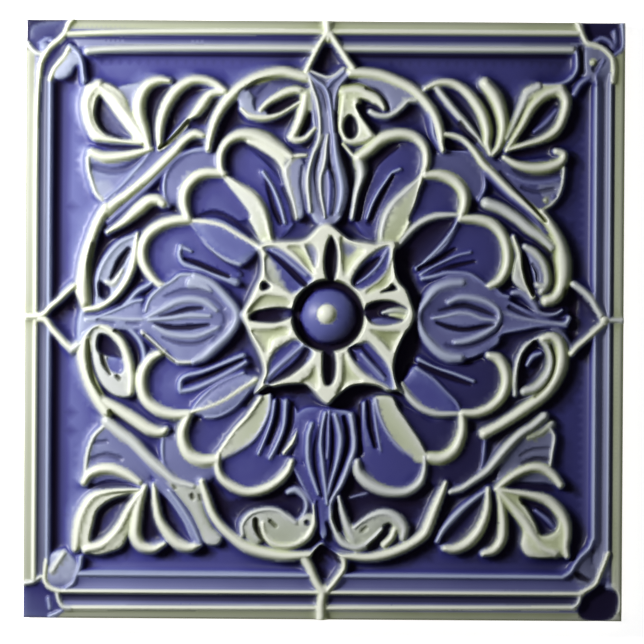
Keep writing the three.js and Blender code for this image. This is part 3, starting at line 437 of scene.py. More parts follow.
def frame_sides():
    """The moulded border. Each side was run by hand, so the four differ a little."""
    strip(-77, -77, -69.9, 77, CHANNEL, SLATE, dark=0.15)
    strip(68.7, -77, 77, 77, CHANNEL, SLATE)
    strip(-77, 69, 77, 77, CHANNEL, BLUE)
    strip(-77, -77, 77, -64.8, CHANNEL - 0.3, HAZE)
    strip(-66, 68.9, 66, 70.9, CHANNEL, SLATE)
    strip(-77, -77, -73.9, 77, 8.5, CREAM, dark=0.46)
    strip(73.4, -77, 77, 77, 8.5, CREAM, dark=0.26)
    strip(75.6, -77, 77, 77, 8.3, CREAM, dark=0.4)
    strip(-77, 73.6, 77, 77, 8.4, CREAM, dark=0.3)
    strip(-77, 75, 77, 77, 8.2, CREAM, dark=0.56)
    strip(-77, -77, 77, -73.9, 7.9, CREAM, dark=0.5)
    groove("-73.2,-70.6 73.5,-70.6", 1.0, 7.5, dark=0.75)
    groove("-66,71.8 66,71.8", 0.9, 7.6, dark=0.45)
    groove("-71.6,-64 -71.6,62", 1.2, 7.8, dark=0.6)
    # Painted shadow of the inner left ridge, cut as a dark groove
    groove("-68.3,-58 -68.3,59", 0.9, 7.4, dark=0.9)
    # Painted shadow below the inner top ridge
    groove("-60,67.2 61,67.4", 0.5, 7.4, dark=0.85)
    groove("70.5,-58 70.5,61", 1.1, 7.9, dark=0.05)
    # Painted shadow to the right of the inner right ridge
    groove("73.1,-66 73.1,66", 0.45, 7.9, dark=0.7)
    ridge("-73.2,-66 -73.2,0 -73.05,55 -72.5,64.5", 0.5, BEAD, CREAM)
    ridge("-69.9,-62 -69.9,61", 0.45, 9.5, HAZE)
    ridge("-66,72.1 -55,72.6 -20,73.1 64,73.2", 0.6, BEAD, CREAM)
    ridge("-60.5,67.9 -55,68.4 -20,68.9 30,68.9 62.5,69", 0.75, 9.5, PALE)
    ridge("68.7,59.5 68.7,-55", 0.5, 9.5, HAZE)
    ridge("72.2,63 72.2,-59", 0.35, 9.2, SLATE)
    ridge("-61.5,-64.7 61,-64.8", 0.5, 9.4, HAZE)
    ridge("-67,-69.1 66,-69", 0.45, BEAD, CREAM)
    ridge("-65,-73.3 0,-73 64,-72.5", 0.5, 9.0, CREAM)


def corner_top_left():
    patch("-76.5,76.5 -64.5,76.5 -66,73 -70,68.8 -72.3,66 -74.3,68 -76.5,70", 8.0, BLUE, dark=0.5)
    # A dark groove round the corner pocket: painted shadow
    groove("-67,76 -72,76 -75.3,75 -76.2,72 -75.2,68.8 -73.3,67.6",
           [0.4, 0.8, 1.2, 1.0, 0.8, 0.4], 7.2, dark=0.85)
    patch("-66.5,71.8 -68.8,69.4 -70.3,67.6 -71.4,65.3 -71.8,62 -69.4,61.6 -66.5,65 -64.6,68.6 -63,69.4",
          7.7, BLUE, dark=0.5)
    patch("-69.2,62 -66.8,65 -65.2,67.6 -63,67.3 -61.8,65 -63.5,64 -64.5,62 -66.5,60.8 -68.5,60.8",
          9.0, SLATE, bulge=0.4)
    dome((-71.5, 68.8), 1.4, 8.3, 9.4, HAZE)
    ridge("-72.5,70 -70.5,71 -69,70.3", 0.5, 8.8, HAZE)
    ridge("-64.3,76 -65.3,74.5 -66,72.8 -67,71.3 -68.8,69.8 -70.2,68.5 -71.3,66.8 -72.3,64.5 -72.7,61",
          0.65, 9.5, CREAM)
    ridge("-75.6,69.8 -74.5,68.3 -73.2,67.3 -72,67", 0.5, 9.2, PALE)
    ridge("-69.9,60.5 -69,63 -67.5,65 -66.2,66.5 -65.2,68.5", 0.6, 9.6, CREAM)
    ridge("-65,69.3 -63,67.5 -62,65.3 -61.6,62.5 -61.3,60.3", 0.45, 9.4, HAZE)
    groove("-60.6,59.6 -59.9,57.8", 0.6, 6.6, dark=0.8)


def corner_top_right():
    patch("64.2,76.5 65.3,73.5 66.5,70.8 70,70 72.7,67.5 74.4,68.5 75,70 75,75.3 70,76.5",
          7.6, BLUE, dark=0.85)
    ridge("68.3,71.2 70,72 72,71.2 73,69.6", 0.55, 8.7, HAZE)
    ridge("73.2,73.5 73.5,71.5 73.2,69.8", 0.7, 8.6, HAZE)
    ridge("75.2,75.5 75.2,69.5 73.3,67.8", 0.5, 9.0, HAZE)
    patch("66.3,70.3 70.5,69.2 72.7,66.5 72.7,64 71,62.5 69,60.5 66,61.5 64,64 64.2,69",
          8.4, SLATE, bulge=0.7)
    groove("64.8,69.5 64.8,66 65,63.5", 0.8, 7.2, dark=0.9)
    groove("70.2,66 69,64.8 68.3,64.2", 0.9, 7.8, dark=0.35)
    dome((67.7, 65.8), 0.9, 8.7, 9.5, CREAM)
    ridge("63.8,76 64.6,74 65.2,72.5 66.2,70.8 68,70.2 70,69.5 71.5,68.3 72.6,66.8 73,64.5 72.8,61",
          0.6, 9.5, CREAM)
    ridge("63.5,68.5 63.7,66.5 63.6,64 62.5,62 61,60.9 58.5,60.2 55.5,60", 0.45, 9.3, HAZE)
    ridge("66.8,62 65.5,61.2 64.5,60.3 63,57.8", 0.7, 9.2, HAZE)
    ridge("68.7,60.5 68.6,62.5 69.5,64.5 70.5,66.5", 0.45, 9.4, HAZE)


def corner_bottom_left():
    patch("-76.5,-68.2 -73,-67.3 -70.8,-67 -69.5,-69 -67.5,-69.8 -67,-72 -66,-74 -68.5,-76.5 -76.5,-76.5",
          7.6, BLUE, dark=0.45)
    ridge("-76,-67.2 -73.5,-66.8 -71.5,-65.5", 0.5, 9.1, PALE)
    patch("-68.5,-59.3 -65.5,-58.8 -62.3,-62 -62.8,-65 -64,-67 -68.5,-67.3 -70,-65.5 -69.3,-62",
          8.6, SLATE, bulge=0.4)
    ridge("-65.8,-59.7 -67,-61.5 -68.5,-64", 0.8, 9.6, PALE)
    ridge("-70,-61 -70.4,-64.5 -70.4,-66 -69.8,-67.5 -68.5,-68.5 -66.8,-69.1", 0.5, 9.5, CREAM)
    ridge("-67.3,-69.3 -66.8,-71.5 -65.8,-73 -64,-73.4", 0.5, 9.2, PALE)
    ridge("-69.6,-71 -69.2,-73.5", 0.5, 8.4, HAZE)
    ridge("-69.2,-75.6 -67.5,-74.8 -66,-74", 0.5, 8.5, HAZE)
    ridge("-61.3,-60.5 -61.6,-62.8 -62.5,-65 -63.3,-67 -65,-68.3", 0.45, 9.3, HAZE)


def corner_bottom_right():
    patch("70.3,-66.5 74.5,-68.5 75,-72 73.5,-75.3 66,-75.3 65,-73 66,-70.3 68.5,-68",
          7.2, BLUE, dark=0.95)
    patch("66.5,-58.3 68.3,-58.3 68.5,-61 69.8,-63.5 69,-66 66.5,-67 64.5,-66 63.2,-63",
          8.1, SLATE, dark=0.2, bulge=0.3)
    groove("63.5,-63.3 65.3,-64.6 67.5,-65.6", [0.4, 0.9, 0.5], 7.4, dark=0.9)
    ridge("68.5,-55 67.5,-57.5 65.5,-59.5 64,-61.5 62.8,-63.5 61,-64.7", 0.5, 9.4, HAZE)
    ridge("72.4,-58.5 71.3,-61.5 70.3,-64 69.2,-66.5 67,-68 65,-69", 0.5, 9.4, CREAM)
    ridge("65.5,-69 64.9,-71.3 63.5,-72.5", 0.45, 9.2, PALE)
    ridge("75.2,-66 74.3,-67.2 72.5,-67", 0.8, 8.3, SLATE)


def diamonds():
    """Ribbon diamonds between the frame and the ring, one on each side."""
    patch("-1,71.5 -3.3,66.5 -4.6,64 -3,62.6 0,61.6 2,61.8 4.6,63.8 6.5,64.3 3,69.5 1,72",
          6.9, BLUE, dark=0.3)
    groove("-0.9,71 -2.3,67.5 -3.6,64 -2,63 -0.5,63", 0.8, 6.3, dark=0.9)
    groove("-0.6,69 -1.2,66 -0.8,63.8", 1.0, 6.5, dark=0.8)
    ridge("0.3,76 0.4,74 0.6,71.6", 1.1, 9.9, CREAM)
    ridge("0.2,72.5 -1.2,70.5 -2.8,67.5 -4,65 -4.8,63.3", 0.65, 10.0, CREAM)
    ridge("1.2,72.5 2.5,70.5 4.2,68 5.8,65.5 7,64", 0.75, 10.0, CREAM)
    patch("-73,0.3 -70.5,1 -68,3 -64.5,7.3 -62.5,5 -61.7,1 -62.5,-3 -64,-6.3 -67,-3.8 -70,-0.8",
          6.9, BLUE, dark=0.25)
    groove("-70,0.6 -67,2.8 -64.8,5.6 -64,3", 0.9, 6.3, dark=0.75)
    ridge("-75.8,0.5 -73.5,0.5 -71,1.2 -69.5,2.8 -67,5 -65,7 -63.5,8.3", 0.65, 9.9, CREAM)
    ridge("-72,0 -70.5,-0.5 -69,-2.5 -67,-4.7 -65,-6.8 -64,-7.5 -63,-7.5", 0.7, 9.9, CREAM)
    ridge("-63.8,-7.8 -62,-6.3 -60.5,-4.3 -59,-2.3 -57.5,-1.5", 0.9, 10.0, PALE)
    patch("62.5,-7 65.5,-4.3 69,-1.2 70,0.8 68,4.2 65,7.3 62.5,9 61.8,5 61.8,0 62,-4",
          6.9, BLUE, dark=0.3)
    groove("63,8 63.2,4 62.8,0 63,-3.5", 1.3, 6.2, dark=0.98)
    groove("64,7 67,4 69,2", 0.7, 6.5, dark=0.8)
    ridge("63.2,9.5 65.5,8 67.8,5.7 69,3.5 70.3,1.5 71,0.3", 0.75, 9.9, PALE)
    ridge("71.2,0 69,-2 66.5,-4.3 64,-6.5 62.8,-8", 0.65, 10.0, CREAM)
    dome((71, 0.5), 1.1, 8.8, 9.9, CREAM)
    ridge("71,0.4 74,0.5 75.8,0.3", 0.6, 9.4, PALE)
    patch("-2.5,-59.7 -0.2,-57.2 3,-59 5,-61.3 4.6,-63.6 2,-66.7 0,-67.6 -1.6,-65 -2.5,-62",
          6.9, BLUE, dark=0.25)
    groove("-0.3,-57.8 -1.9,-60 -1.7,-63 -0.7,-66.3", 0.95, 6.2, dark=0.98)
    groove("0.5,-58.5 2.5,-59.6 4.3,-60.8", 0.9, 6.4, dark=0.95)
    ridge("-4.6,-60.3 -3.3,-62.5 -2.2,-65 -1,-67.2 0,-68.5", [1.1, 0.8], 9.9, CREAM)
    ridge("5,-59.8 5.5,-61.5 5.3,-63 4,-65 2.5,-67 1.2,-68.5", 0.65, 9.9, CREAM)
    ridge("0.3,-68.3 -0.3,-72 -0.2,-76", 1.1, 9.8, CREAM)


def ring_ground():
    """The sunk ground between the ring and the rosette."""
    patch("-29,43.5 -27,50 -24,55 -19,59.5 -12,61.8 -5,61.5 0,61 6,61.8 12,61.8 18,60 24,56 27,51.5 "
          "29,44 37,43 44,36 54,27 58,20 60,12 59,4 60,-4 59.5,-10 57,-17 52,-23 44,-30 38,-40 31,-42 "
          "28,-49 25,-54 18,-58 10,-59.5 0,-58 -10,-59.3 -18,-57.5 -24,-53 -28,-47 -31,-41.5 -38,-40 "
          "-44,-34 -54,-25 -58.5,-16 -60.3,-8 -59,0 -60.3,8 -59,17 -54,26 -44,35 -36,43",
          GROUND, BLUE, dark=0.25)
    patch("-12,51.5 -8.5,53 -8,49 -9.3,46.5 -8,44.5 -4,44 -3,42 -8.3,41 -14,44.8 -20,47.5 -27,47 -25,53 "
          "-21,51.5 -16.5,50.5",
          GROUND, BLUE, dark=0.05)
    patch("12.5,50 16,51 20,53 24,54.5 26,50 27,46.5 22,47.3 16,47.3 12.5,46", GROUND, BLUE, dark=0.3)
    # Below the lower petals the ground is painted nearly black: painted shade
    patch("-25.5,-46.5 -20,-45 -14,-43.8 -10,-41.5 -7.6,-38 -5.5,-42 -3.8,-45 -2.6,-50 -4,-52 -7,-50 "
          "-12,-48 -18,-48 -23,-50.5",
          GROUND, BLUE, dark=0.85)
    patch("2.5,-47 5,-43.5 8,-40 12,-42.5 18,-45 26,-46 23,-50.5 16,-48.5 11,-50 8,-51.5 5.5,-50.5",
          GROUND, BLUE, dark=0.9)


def ring():
    """The lobed ribbon ring, with its stems at the diagonals."""
    patch("16,52.6 20,54.6 23.5,54.8 26.5,51 27.5,47 29,44 29.3,47 27.5,52 24,56.3 18.5,60 12,61.8 "
          "7,61.8 10.5,59.6 13.6,58 15.4,55.2",
          8.6, SLATE, bulge=0.4)
    patch("-30,42.9 -34,42.3 -37.5,40.5 -40,37.3 -40.8,34 -40.3,30.5 -39.7,28.7 -36,31 -35,34.5 -32,36.8 "
          "-27,37.5 -27,42", SHEET, HAZE, bulge=0.5)
    patch("30.5,43.2 35,43 38,41 39.8,38 40.3,34 39,31 36,31 34.5,34.5 32,36.5 27,37.5 27,42",
          SHEET, HAZE, bulge=0.4)
    patch("-40.5,-29 -40.7,-33 -40,-37 -36,-41 -32,-42 -28,-40.5 -27.5,-37 -31,-36.5 -35,-33.5 -36.5,-29",
          SHEET, HAZE, dark=0.05, bulge=0.5)
    patch("40.8,-29 40.3,-33 39.8,-37 37,-40.5 31,-42 27,-41 27,-36.5 31,-35.8 35,-32.5 36.5,-28",
          SHEET, BLUE, dark=0.75, bulge=0.1)
    ridge("-29.5,43 -34,42.5 -37.5,40.7 -40,37.5 -40.9,34 -40.4,30.5 -39.7,28.7", 0.4, 8.9, HAZE)
    ridge("30.3,43.5 35,43.2 38.2,41.2 40,38 40.5,34 39,30.8", 0.4, 8.9, HAZE)
    ridge("-40.5,-28.7 -40.9,-33 -40.1,-37.2 -36,-41.2 -32,-42.2", 0.4, 8.8, HAZE)
    ridge("41,-28.8 40.7,-33 39.9,-37.5 37,-40.8 32.5,-42.3", 0.4, 8.7, HAZE)
    ridge("-29.7,43.2 -29,47 -27.7,51 -25.3,55 -22,58.3 -18,60.9 -14,62.3 -10.5,62.8 -7.5,62.2 -5,61.6",
          [0.6, 0.8, 1, 1.2, 1.3, 1.3, 1.3, 1.3, 1.2, 1.1], RIM, CREAM)
    ridge("6.2,62.8 10,62.7 14,62.2 18,60.8 22,58.8 25,56 27.5,52.5 29,48.5 29.5,45 29.8,43.3",
          [1.1, 1.2, 1.2, 1.2, 1.2, 1.1, 1.1, 1, 0.7, 0.5], RIM, CREAM)
    ridge("26,54 27,50 27.5,47 29,44", 0.45, 9.4, HAZE)
    ridge("-30.8,-41 -29.5,-45 -28,-49 -26,-52 -23,-55 -19.5,-57.5 -15,-59 -10,-59.8 -6,-59.7 -2.8,-59.3",
          [0.6, 0.9, 0.9, 0.9, 1, 1.2, 1.3, 1.2, 0.9, 0.6], RIM, CREAM)
    ridge("31,-41 29.7,-44.5 28.3,-48 27,-51.5 25.8,-54 23,-56.3 19,-58.3 15,-59.6 11,-60.1 7.5,-59.8 "
          "4.3,-59.3",
          [0.5, 0.9, 1.1, 1.2, 1.2, 1.1, 1.1, 1.1, 0.9, 0.8, 0.6], RIM, CREAM)
    ridge("-2.8,-59.3 -1.5,-58 -0.3,-57.1", 0.4, 9.8, CREAM)
    ridge("-0.3,-57.1 2,-58.3 4.3,-59.4", 0.3, 8.6, HAZE)
    ridge("-55.5,28 -57.5,24.5 -59,20.5 -60.3,16 -61,11 -61.2,7 -60.9,4.2",
          [1.1, 1.1, 1.1, 1.3, 1.5, 1.7, 1.5], RIM, CREAM)
    ridge("-60.6,-4.8 -61,-9 -60.3,-13 -58.8,-17 -57,-20.5 -55,-23.5",
          [1.5, 1.4, 1.3, 1.4, 1.4, 1.3], RIM, CREAM)
    ridge("55,27.5 57.5,24 59.5,20 60.4,15.5 60.4,11 59.5,7.5 58,5.8 56.3,5.3",
          [1, 1.2, 1.6, 2, 1.9, 1.5, 1.3, 1.2], RIM, CREAM)
    ridge("41,30 45,28.5 49,26 52,23.5 55,21.5 57.5,19", 1.25, 9.9, PALE)
    ridge("55.5,-4.3 57.5,-3.8 59.3,-4.8 60.2,-7.5 60,-11 58.5,-15 56,-18.5 52,-21.5 48,-24.3 44,-26.8 "
          "40.8,-28.5",
          [0.9, 1, 1.2, 1.5, 1.8, 1.6, 1.4, 1.3, 1.2, 1.1, 1.2], RIM, CREAM)
    ridge("-55,22 -51,24.5 -47,28 -44.5,30 -42.5,30.3 -41,29.3",
          [0.4, 0.9, 1.4, 1.3, 1.1, 0.8], 9.9, CREAM)
    ridge("-55.5,-21 -52,-23 -48,-25.5 -44,-28 -41,-28.7 -40,-28", [1, 1.2, 1.3, 1.3, 1, 0.6], 9.9, CREAM)
    groove("-54,-23.5 -50,-26.5 -46,-29.3", 0.5, 7.5, dark=0.5)


def ring_stems():
    ridge("-31,46.6 -33,47 -35.5,45.5 -38,42.8 -41,39.8 -44,36.8 -47,34.2 -50,31.7 -53,29.5 -55.3,27.3",
          [0.6, 1, 0.9, 1, 1, 1, 1, 1, 1.1, 1.2], 9.8, CREAM)
    ridge("-29.5,43.5 -33,43 -37,41.3 -41,37.5 -45,33.5 -50,29 -55,24.5", 0.5, 8.9, HAZE)
    groove("-34.2,44.6 -31.4,44.4", 0.5, 7, dark=0.9)
    ridge("30.3,47.3 32.5,47 35,46 37.5,43.5 40,40 43,37 47,33 50,30.5 53,28 55.5,26",
          [0.6, 0.6, 0.6, 0.7, 0.9, 0.9, 0.9, 0.9, 0.9, 0.9], 9.8, CREAM)
    patch("30.5,46.2 30.7,43.9 36,43.6", 6.8, BLUE, dark=0.95)
    groove("44.5,38 48.5,33.5 53,28.8 56,25.5", 0.4, 7.6, dark=0.7)
    ridge("40.5,38 44,34.8 48,31 52,27.5 56,22.5", 0.55, 9.3, HAZE)
    ridge("-55,-26 -52,-28.5 -48,-31.5 -44,-35.5 -40,-39 -37.5,-41 -33,-42.3",
          [1.2, 1.2, 1.2, 1.1, 1, 0.9, 0.6], 9.7, PALE)
    ridge("56,-24 53,-26.5 50,-28.5 47,-31.5 44.5,-34.5 41.5,-38 38,-40.5 35,-42.5 32.3,-43.3",
          [1, 1, 1, 1, 1, 0.9, 0.8, 0.7, 0.6], 9.7, PALE)


def arch_scrolls_top():
    patch("-22,57.5 -22,54 -20,51.7 -16.5,51.2 -12,51.8 -15,53 -17.3,54.8 -18,57.5 -19.5,59",
          8.9, SLATE, bulge=0.3)
    ridge("-21.4,53.5 -19.5,51.9 -17,51.3 -14.5,51.3 -12,52 -9,53.7 -6.5,55.2",
          [0.3, 0.6, 0.7, 0.7, 0.6, 0.5, 0.4], 9.6, CREAM)
    ridge("-16.5,53.2 -14.5,55.2 -12,56.7 -9.5,57.9 -7,58.3 -5,57.5",
          [0.5, 0.7, 0.9, 1, 0.9, 0.8], 9.7, CREAM)
    patch("-19.5,58.8 -18,56 -17.4,53.6 -16,55 -13,57.5 -9,59.5 -5.5,59.8 -8,61 -12,61.2 -15.5,60.3",
          8.3, HAZE, dark=0.1)
    groove("-17.6,53.3 -17.8,55.5 -16.5,57.7 -14.5,59.7", [0.3, 0.6, 0.5, 0.3], 7.9, dark=0.4)
    groove("-20,58.5 -17,60.3 -13,61 -9,60.6 -6,59.9", 0.5, 7.7, dark=0.45)
    patch("-6.5,57.5 -3.4,59 -3.2,53.2 -4.6,53 -5.8,55", 9.2, PALE)
    ridge("-5,57 -5.5,54 -6.3,51 -7.3,48.5 -8.3,46.6", [1.2, 1.4, 1.2, 1, 0.9], 9.8, CREAM)
    ridge("-3.4,58.5 -3.2,55 -3,51.5 -2.6,48.5", [0.8, 0.7, 0.5, 0.4], 9.3, SLATE)
    ridge("-8.5,46.4 -7,45.6 -5,46.1 -3.6,47.6 -2.7,48.6", [0.9, 0.7, 0.6, 0.5, 0.4], 9.7, CREAM)
    groove("-4,52.3 -4.5,50.5 -5.5,48.3 -6.2,47.3", [0.5, 0.9, 0.8, 0.5], 7.0, dark=0.95)
    groove("-14.3,52.6 -12,53.6 -9.5,55 -7.2,56.2", [0.5, 1, 1, 0.5], 7.0, dark=0.95)
    patch("4.2,57.8 8,59.3 11.5,58 14.5,55.6 15.5,53.6 13.3,54 11,55.6 8.3,56 8.8,53.4 10.5,50 13.2,46.8 "
          "9.5,45.4 5.5,45.8 4.3,48.5 4,53", 9.4, CREAM)
    ridge("4.5,58 8,58.3 11,57.3 13.5,55.8 14.8,54", [1.5, 1.6, 1.3, 1, 0.6], 9.7, CREAM)
    ridge("5,57.5 4.5,54 4,51 4,48.5 4.8,46.5", [1.4, 1.1, 0.8, 0.7, 0.6], 9.6, CREAM)
    ridge("7.6,55.5 8.8,51.5 10.3,49 11.6,46.9", [1.1, 1, 1.2, 0.8], 9.8, CREAM)
    ridge("5,46 7,45.4 10,46 11.6,46.9", [0.6, 0.8, 1, 0.8], 9.8, CREAM)
    patch("6,52 4.9,50.5 4.8,48.3 5.8,46.4 7,46.2 8.1,47.5 8.1,49.5 7.3,51.5", 6.9, BLUE, dark=0.85)
    patch("8,54.6 10.5,54.8 13,54.6 14.5,52.6 11.5,52.2 12,50 13.5,46.5 11,49.5 9,52.2",
          6.9, BLUE, dark=0.75)
    ridge("11.4,53 13,52.2 15.5,51.9 17.5,52.7 19.5,54.3 21,55.8 23,56", 0.6, 9.4, PALE)
    groove("10.5,59 13.5,58 15.3,55.5 16,53.3", 0.5, 7.4, dark=0.75)
    ridge("4.5,44.7 8.5,41.1 12.5,45.2", 0.4, 9.3, CREAM)


def arch_scrolls_bottom():
    patch("-20,-54.5 -20.3,-52 -18.5,-49.3 -15,-48 -11.5,-48.2 -9,-49.6 -7,-51.2 -5.3,-49.5 -3,-49 "
          "-2,-50.5 -2.3,-53 -4,-55.5 -7,-57.3 -10.5,-57.6 -14,-56 -17,-57", 9.0, PALE, bulge=0.4)
    groove("-17,-50.8 -16.8,-52.5 -15.8,-54.5 -14.3,-56.3", 0.7, 7.2, dark=0.9)
    groove("-13.3,-51 -12,-52.2", 0.5, 8, dark=0.5)
    ridge("-15.2,-51.5 -14.8,-54 -13,-56.3 -10,-57.2 -7,-56.8 -4,-55 -2.4,-52 -2,-49 -2.3,-46.8",
          [0.5, 0.6, 0.8, 0.9, 0.9, 0.9, 0.7, 0.5, 0.3], 9.9, CREAM)
    ridge("-20.3,-54.5 -20.4,-52 -18.6,-49.4 -15,-48.1 -11.5,-48.3 -9,-49.8 -7,-51.3", 0.5, 9.8, PALE)
    ridge("-8.8,-43.6 -7,-43.1 -5.3,-44.2 -4.3,-46 -4.3,-48 -5.5,-50 -7,-51.3",
          [0.6, 0.9, 0.7, 0.5, 0.5, 0.5, 0.4], 9.0, SLATE)
    dome((-3.9, -51.4), 0.7, 8.6, 8.2, SLATE)
    groove("-4.1,-51.2 -3.8,-51.6", 0.55, 7.8, dark=0.8)
    patch("7,-53 10,-50.8 13,-49.3 16,-48.8 19,-50.3 20.5,-52.5 20.4,-55.5 18.3,-53 16.5,-51.6 14,-53.5 "
          "10,-56.5 6.5,-56.5",
          8.9, PALE, bulge=0.3)
    ridge("1.4,-45.8 2.1,-50 3.3,-53.5 5,-56.3 7.5,-57.6 10.5,-57 12.8,-55.2 15,-53",
          [0.5, 0.5, 0.6, 0.9, 1, 1, 0.7, 0.4], 9.7, PALE)
    ridge("4,-44.7 4.8,-48 5.8,-51 7,-54 8,-56", [0.35, 0.7, 0.9, 1.3, 1.5], 9.4, PALE)
    ridge("8,-52.5 10,-50.9 13,-49.3 16,-48.8 19,-50.2 20.6,-52.5 20.3,-55",
          [0.4, 0.5, 0.8, 1, 1.1, 1.1, 0.8], 9.6, PALE)
    groove("3.3,-46.5 3.3,-50 4.3,-53.2", [0.6, 0.9, 0.5], 6.7, dark=0.98)
    groove("10,-53.3 11,-52.5", 0.5, 8.3, dark=0.3)
    groove("16.8,-52 15,-54.5 12,-57.5", 0.8, 7.2, dark=0.85)
    ridge("18.2,-53 17.4,-55 15.6,-56.8", 0.8, 9.5, CREAM)
    ridge("7,-45 9,-44.4 11,-44", 0.35, 7.4, SLATE)


def side_scrolls_left():
    patch("-47.8,21.5 -48,15 -50,10.5 -54,5.5 -58,3 -57.6,10 -55.6,15 -52,19.4", 8.9, SLATE)
    ridge("-60.6,2.2 -57,3 -53,5.8 -50,10 -48.5,14 -48,18 -47.5,21.7",
          [0.5, 0.7, 0.7, 0.8, 0.8, 0.6, 0.3], 9.6, CREAM)
    ridge("-48,21.2 -52,19.2 -55.5,15 -57.3,10.7 -57.5,6", [0.4, 0.6, 0.7, 0.7, 0.5], 9.4, SLATE)
    groove("-49.7,17.8 -51.8,14.5 -53.9,10.3", [0.6, 1.1, 0.6], 7.0, dark=0.97)
    patch("-57,9.4 -57,6 -55.6,4.9 -54.4,6.4 -54.6,8.2", 7.2, BLUE, dark=0.85)
    ridge("-55.3,9.4 -53.6,9 -52.2,10.8 -51.2,12.6", [0.5, 0.8, 0.6, 0.3], 9.4, PALE)
    groove("-58.4,19 -59.2,14 -59,9 -58.3,6", [0.5, 0.8, 0.7, 0.4], 7.3, dark=0.5)
    groove("-60,0.9 -57,0.9 -55,1.4 -53,2.6 -51,4.3 -49.5,6.3 -48.3,8.7 -47.1,11.5 -46.9,15",
           [0.3, 0.4, 0.5, 0.6, 0.7, 0.8, 0.9, 0.8, 0.4], 6.9, dark=0.8)
    patch("-58.6,-2.8 -55,-2.2 -51.8,-5.2 -49.6,-9.5 -48.6,-14.7 -48.6,-19.5 -52,-19.8 -55.5,-17.6 "
          "-58,-13 -58.9,-8",
          8.9, PALE, bulge=0.3)
    ridge("-57.7,-1.5 -55.2,-2.4 -52,-5 -49.9,-9.3 -48.9,-14 -49,-18.5",
          [0.6, 0.8, 1.0, 1.1, 1.0, 0.8], 9.7, CREAM)
    patch("-56.9,-4 -54.8,-4.3 -52.3,-6.9 -51.3,-10.2 -53.5,-9.8 -55.4,-9.3 -57.3,-8",
          7.0, BLUE, dark=0.85)
    patch("-55,-9.8 -51.4,-10.2 -50.8,-12.8 -51.6,-13.8 -54.2,-13", 8.3, BLUE)
    groove("-56.4,-8.5 -55.6,-11.5 -54.2,-14", [0.5, 0.6, 0.3], 7.3, dark=0.9)
    groove("-52.4,-14.5 -51.9,-15.1", 0.5, 7.8, dark=0.9)
    groove("-59.7,-5.5 -59.5,-10 -58.5,-15 -56.2,-19.3", [0.3, 0.5, 0.5, 0.3], 7.6, dark=0.5)
    ridge("-56.5,-1.6 -53,-2.2 -50,-2.3 -47.8,-4 -46.2,-6.5 -45.6,-9.5 -46.4,-12",
          [0.4, 0.5, 0.5, 0.5, 0.5, 0.5, 0.3], 9.0, HAZE)
    groove("-53,-2.9 -50.5,-4.1 -48.5,-6.3 -47.4,-9.5 -47.5,-13.3",
           [0.4, 0.8, 0.9, 0.8, 0.5], 6.9, dark=0.8)


def side_scrolls_right():
    patch("47.5,20 49.5,16.5 50,13 51.5,9 53,6.5 50,8 47.5,10.5 47.8,14 48.3,17", 9.2, PALE, bulge=0.4)
    ridge("47.8,21.5 49.2,17.5 49.8,13.5 50.8,10 52.8,6.3", [0.4, 0.6, 0.8, 0.8, 0.6], 9.6, CREAM)
    groove("50.3,17.3 51,13.5 51.9,10 53,6.6", [0.3, 0.8, 0.8, 0.3], 6.7, dark=0.98)
    patch("50.3,19.5 54,18 56.8,14.5 57.4,10 55.5,7 53.8,8.2 52.8,12 51.8,15.5", 8.8, SLATE, bulge=0.3)
    ridge("50.8,19 53.3,17.5 55.3,15 56.3,12 56.3,9.5 55,7.6", [0.6, 1, 1.1, 1.1, 1, 0.8], 9.6, PALE)
    groove("52.7,14.5 53.8,12.5 54,10.3", 0.4, 7.8, dark=0.5)
    ridge("54,9.3 55.3,9 56.3,9.6", 0.6, 9.7, PALE)
    groove("53,20 56.5,18 58,14 58.3,10 57.5,7.5", 0.4, 7.6, dark=0.8)
    ridge("47.8,7.3 50,7.3 51.8,6 53.5,3.8 54.5,1.6", [0.6, 0.9, 1, 1, 0.5], 8.9, SLATE)
    ridge("54.5,2.4 56.5,1.8 58.5,2 60.2,3", [0.5, 0.5, 0.5, 0.3], 8.9, SLATE)
    groove("55.5,3 57,3 58.5,2.9 60.5,4.5 61.3,8", [0.4, 0.5, 0.5, 0.6, 0.4], 7, dark=0.85)
    groove("47.8,5.6 49.5,4.3 51.5,3 53,1.8 55,0.7 58,0.3 61,0.8",
           [0.3, 0.5, 0.5, 0.4, 0.4, 0.4, 0.3], 6.8, dark=0.9)
    ridge("54.3,-4 51,-6.5 49.3,-10 48.6,-14 48.5,-18.5", [0.3, 0.6, 0.6, 0.6, 0.5], 9.3, PALE)
    groove("53.5,-5.3 51.2,-8.7 50.2,-13 49.8,-17", [0.6, 1, 1, 0.6], 6.7, dark=0.98)
    ridge("55.3,-4.6 56.8,-6.5 57.6,-9 57.5,-11.8 56.2,-14.5 53.9,-16.8 50.8,-17.7",
          [0.8, 1, 1.1, 1.2, 1.3, 1.2, 0.9], 9.5, PALE)
    ridge("51.5,-11 53,-8.8 55,-8", [0.3, 0.6, 0.4], 9.0, HAZE)
    groove("54.8,-9.3 54,-12 52.3,-14.2", 0.6, 7.3, dark=0.85)
    groove("57.5,-6 58.5,-9 58.2,-12.5 56.5,-16 53.5,-19", 0.35, 7.6, dark=0.75)


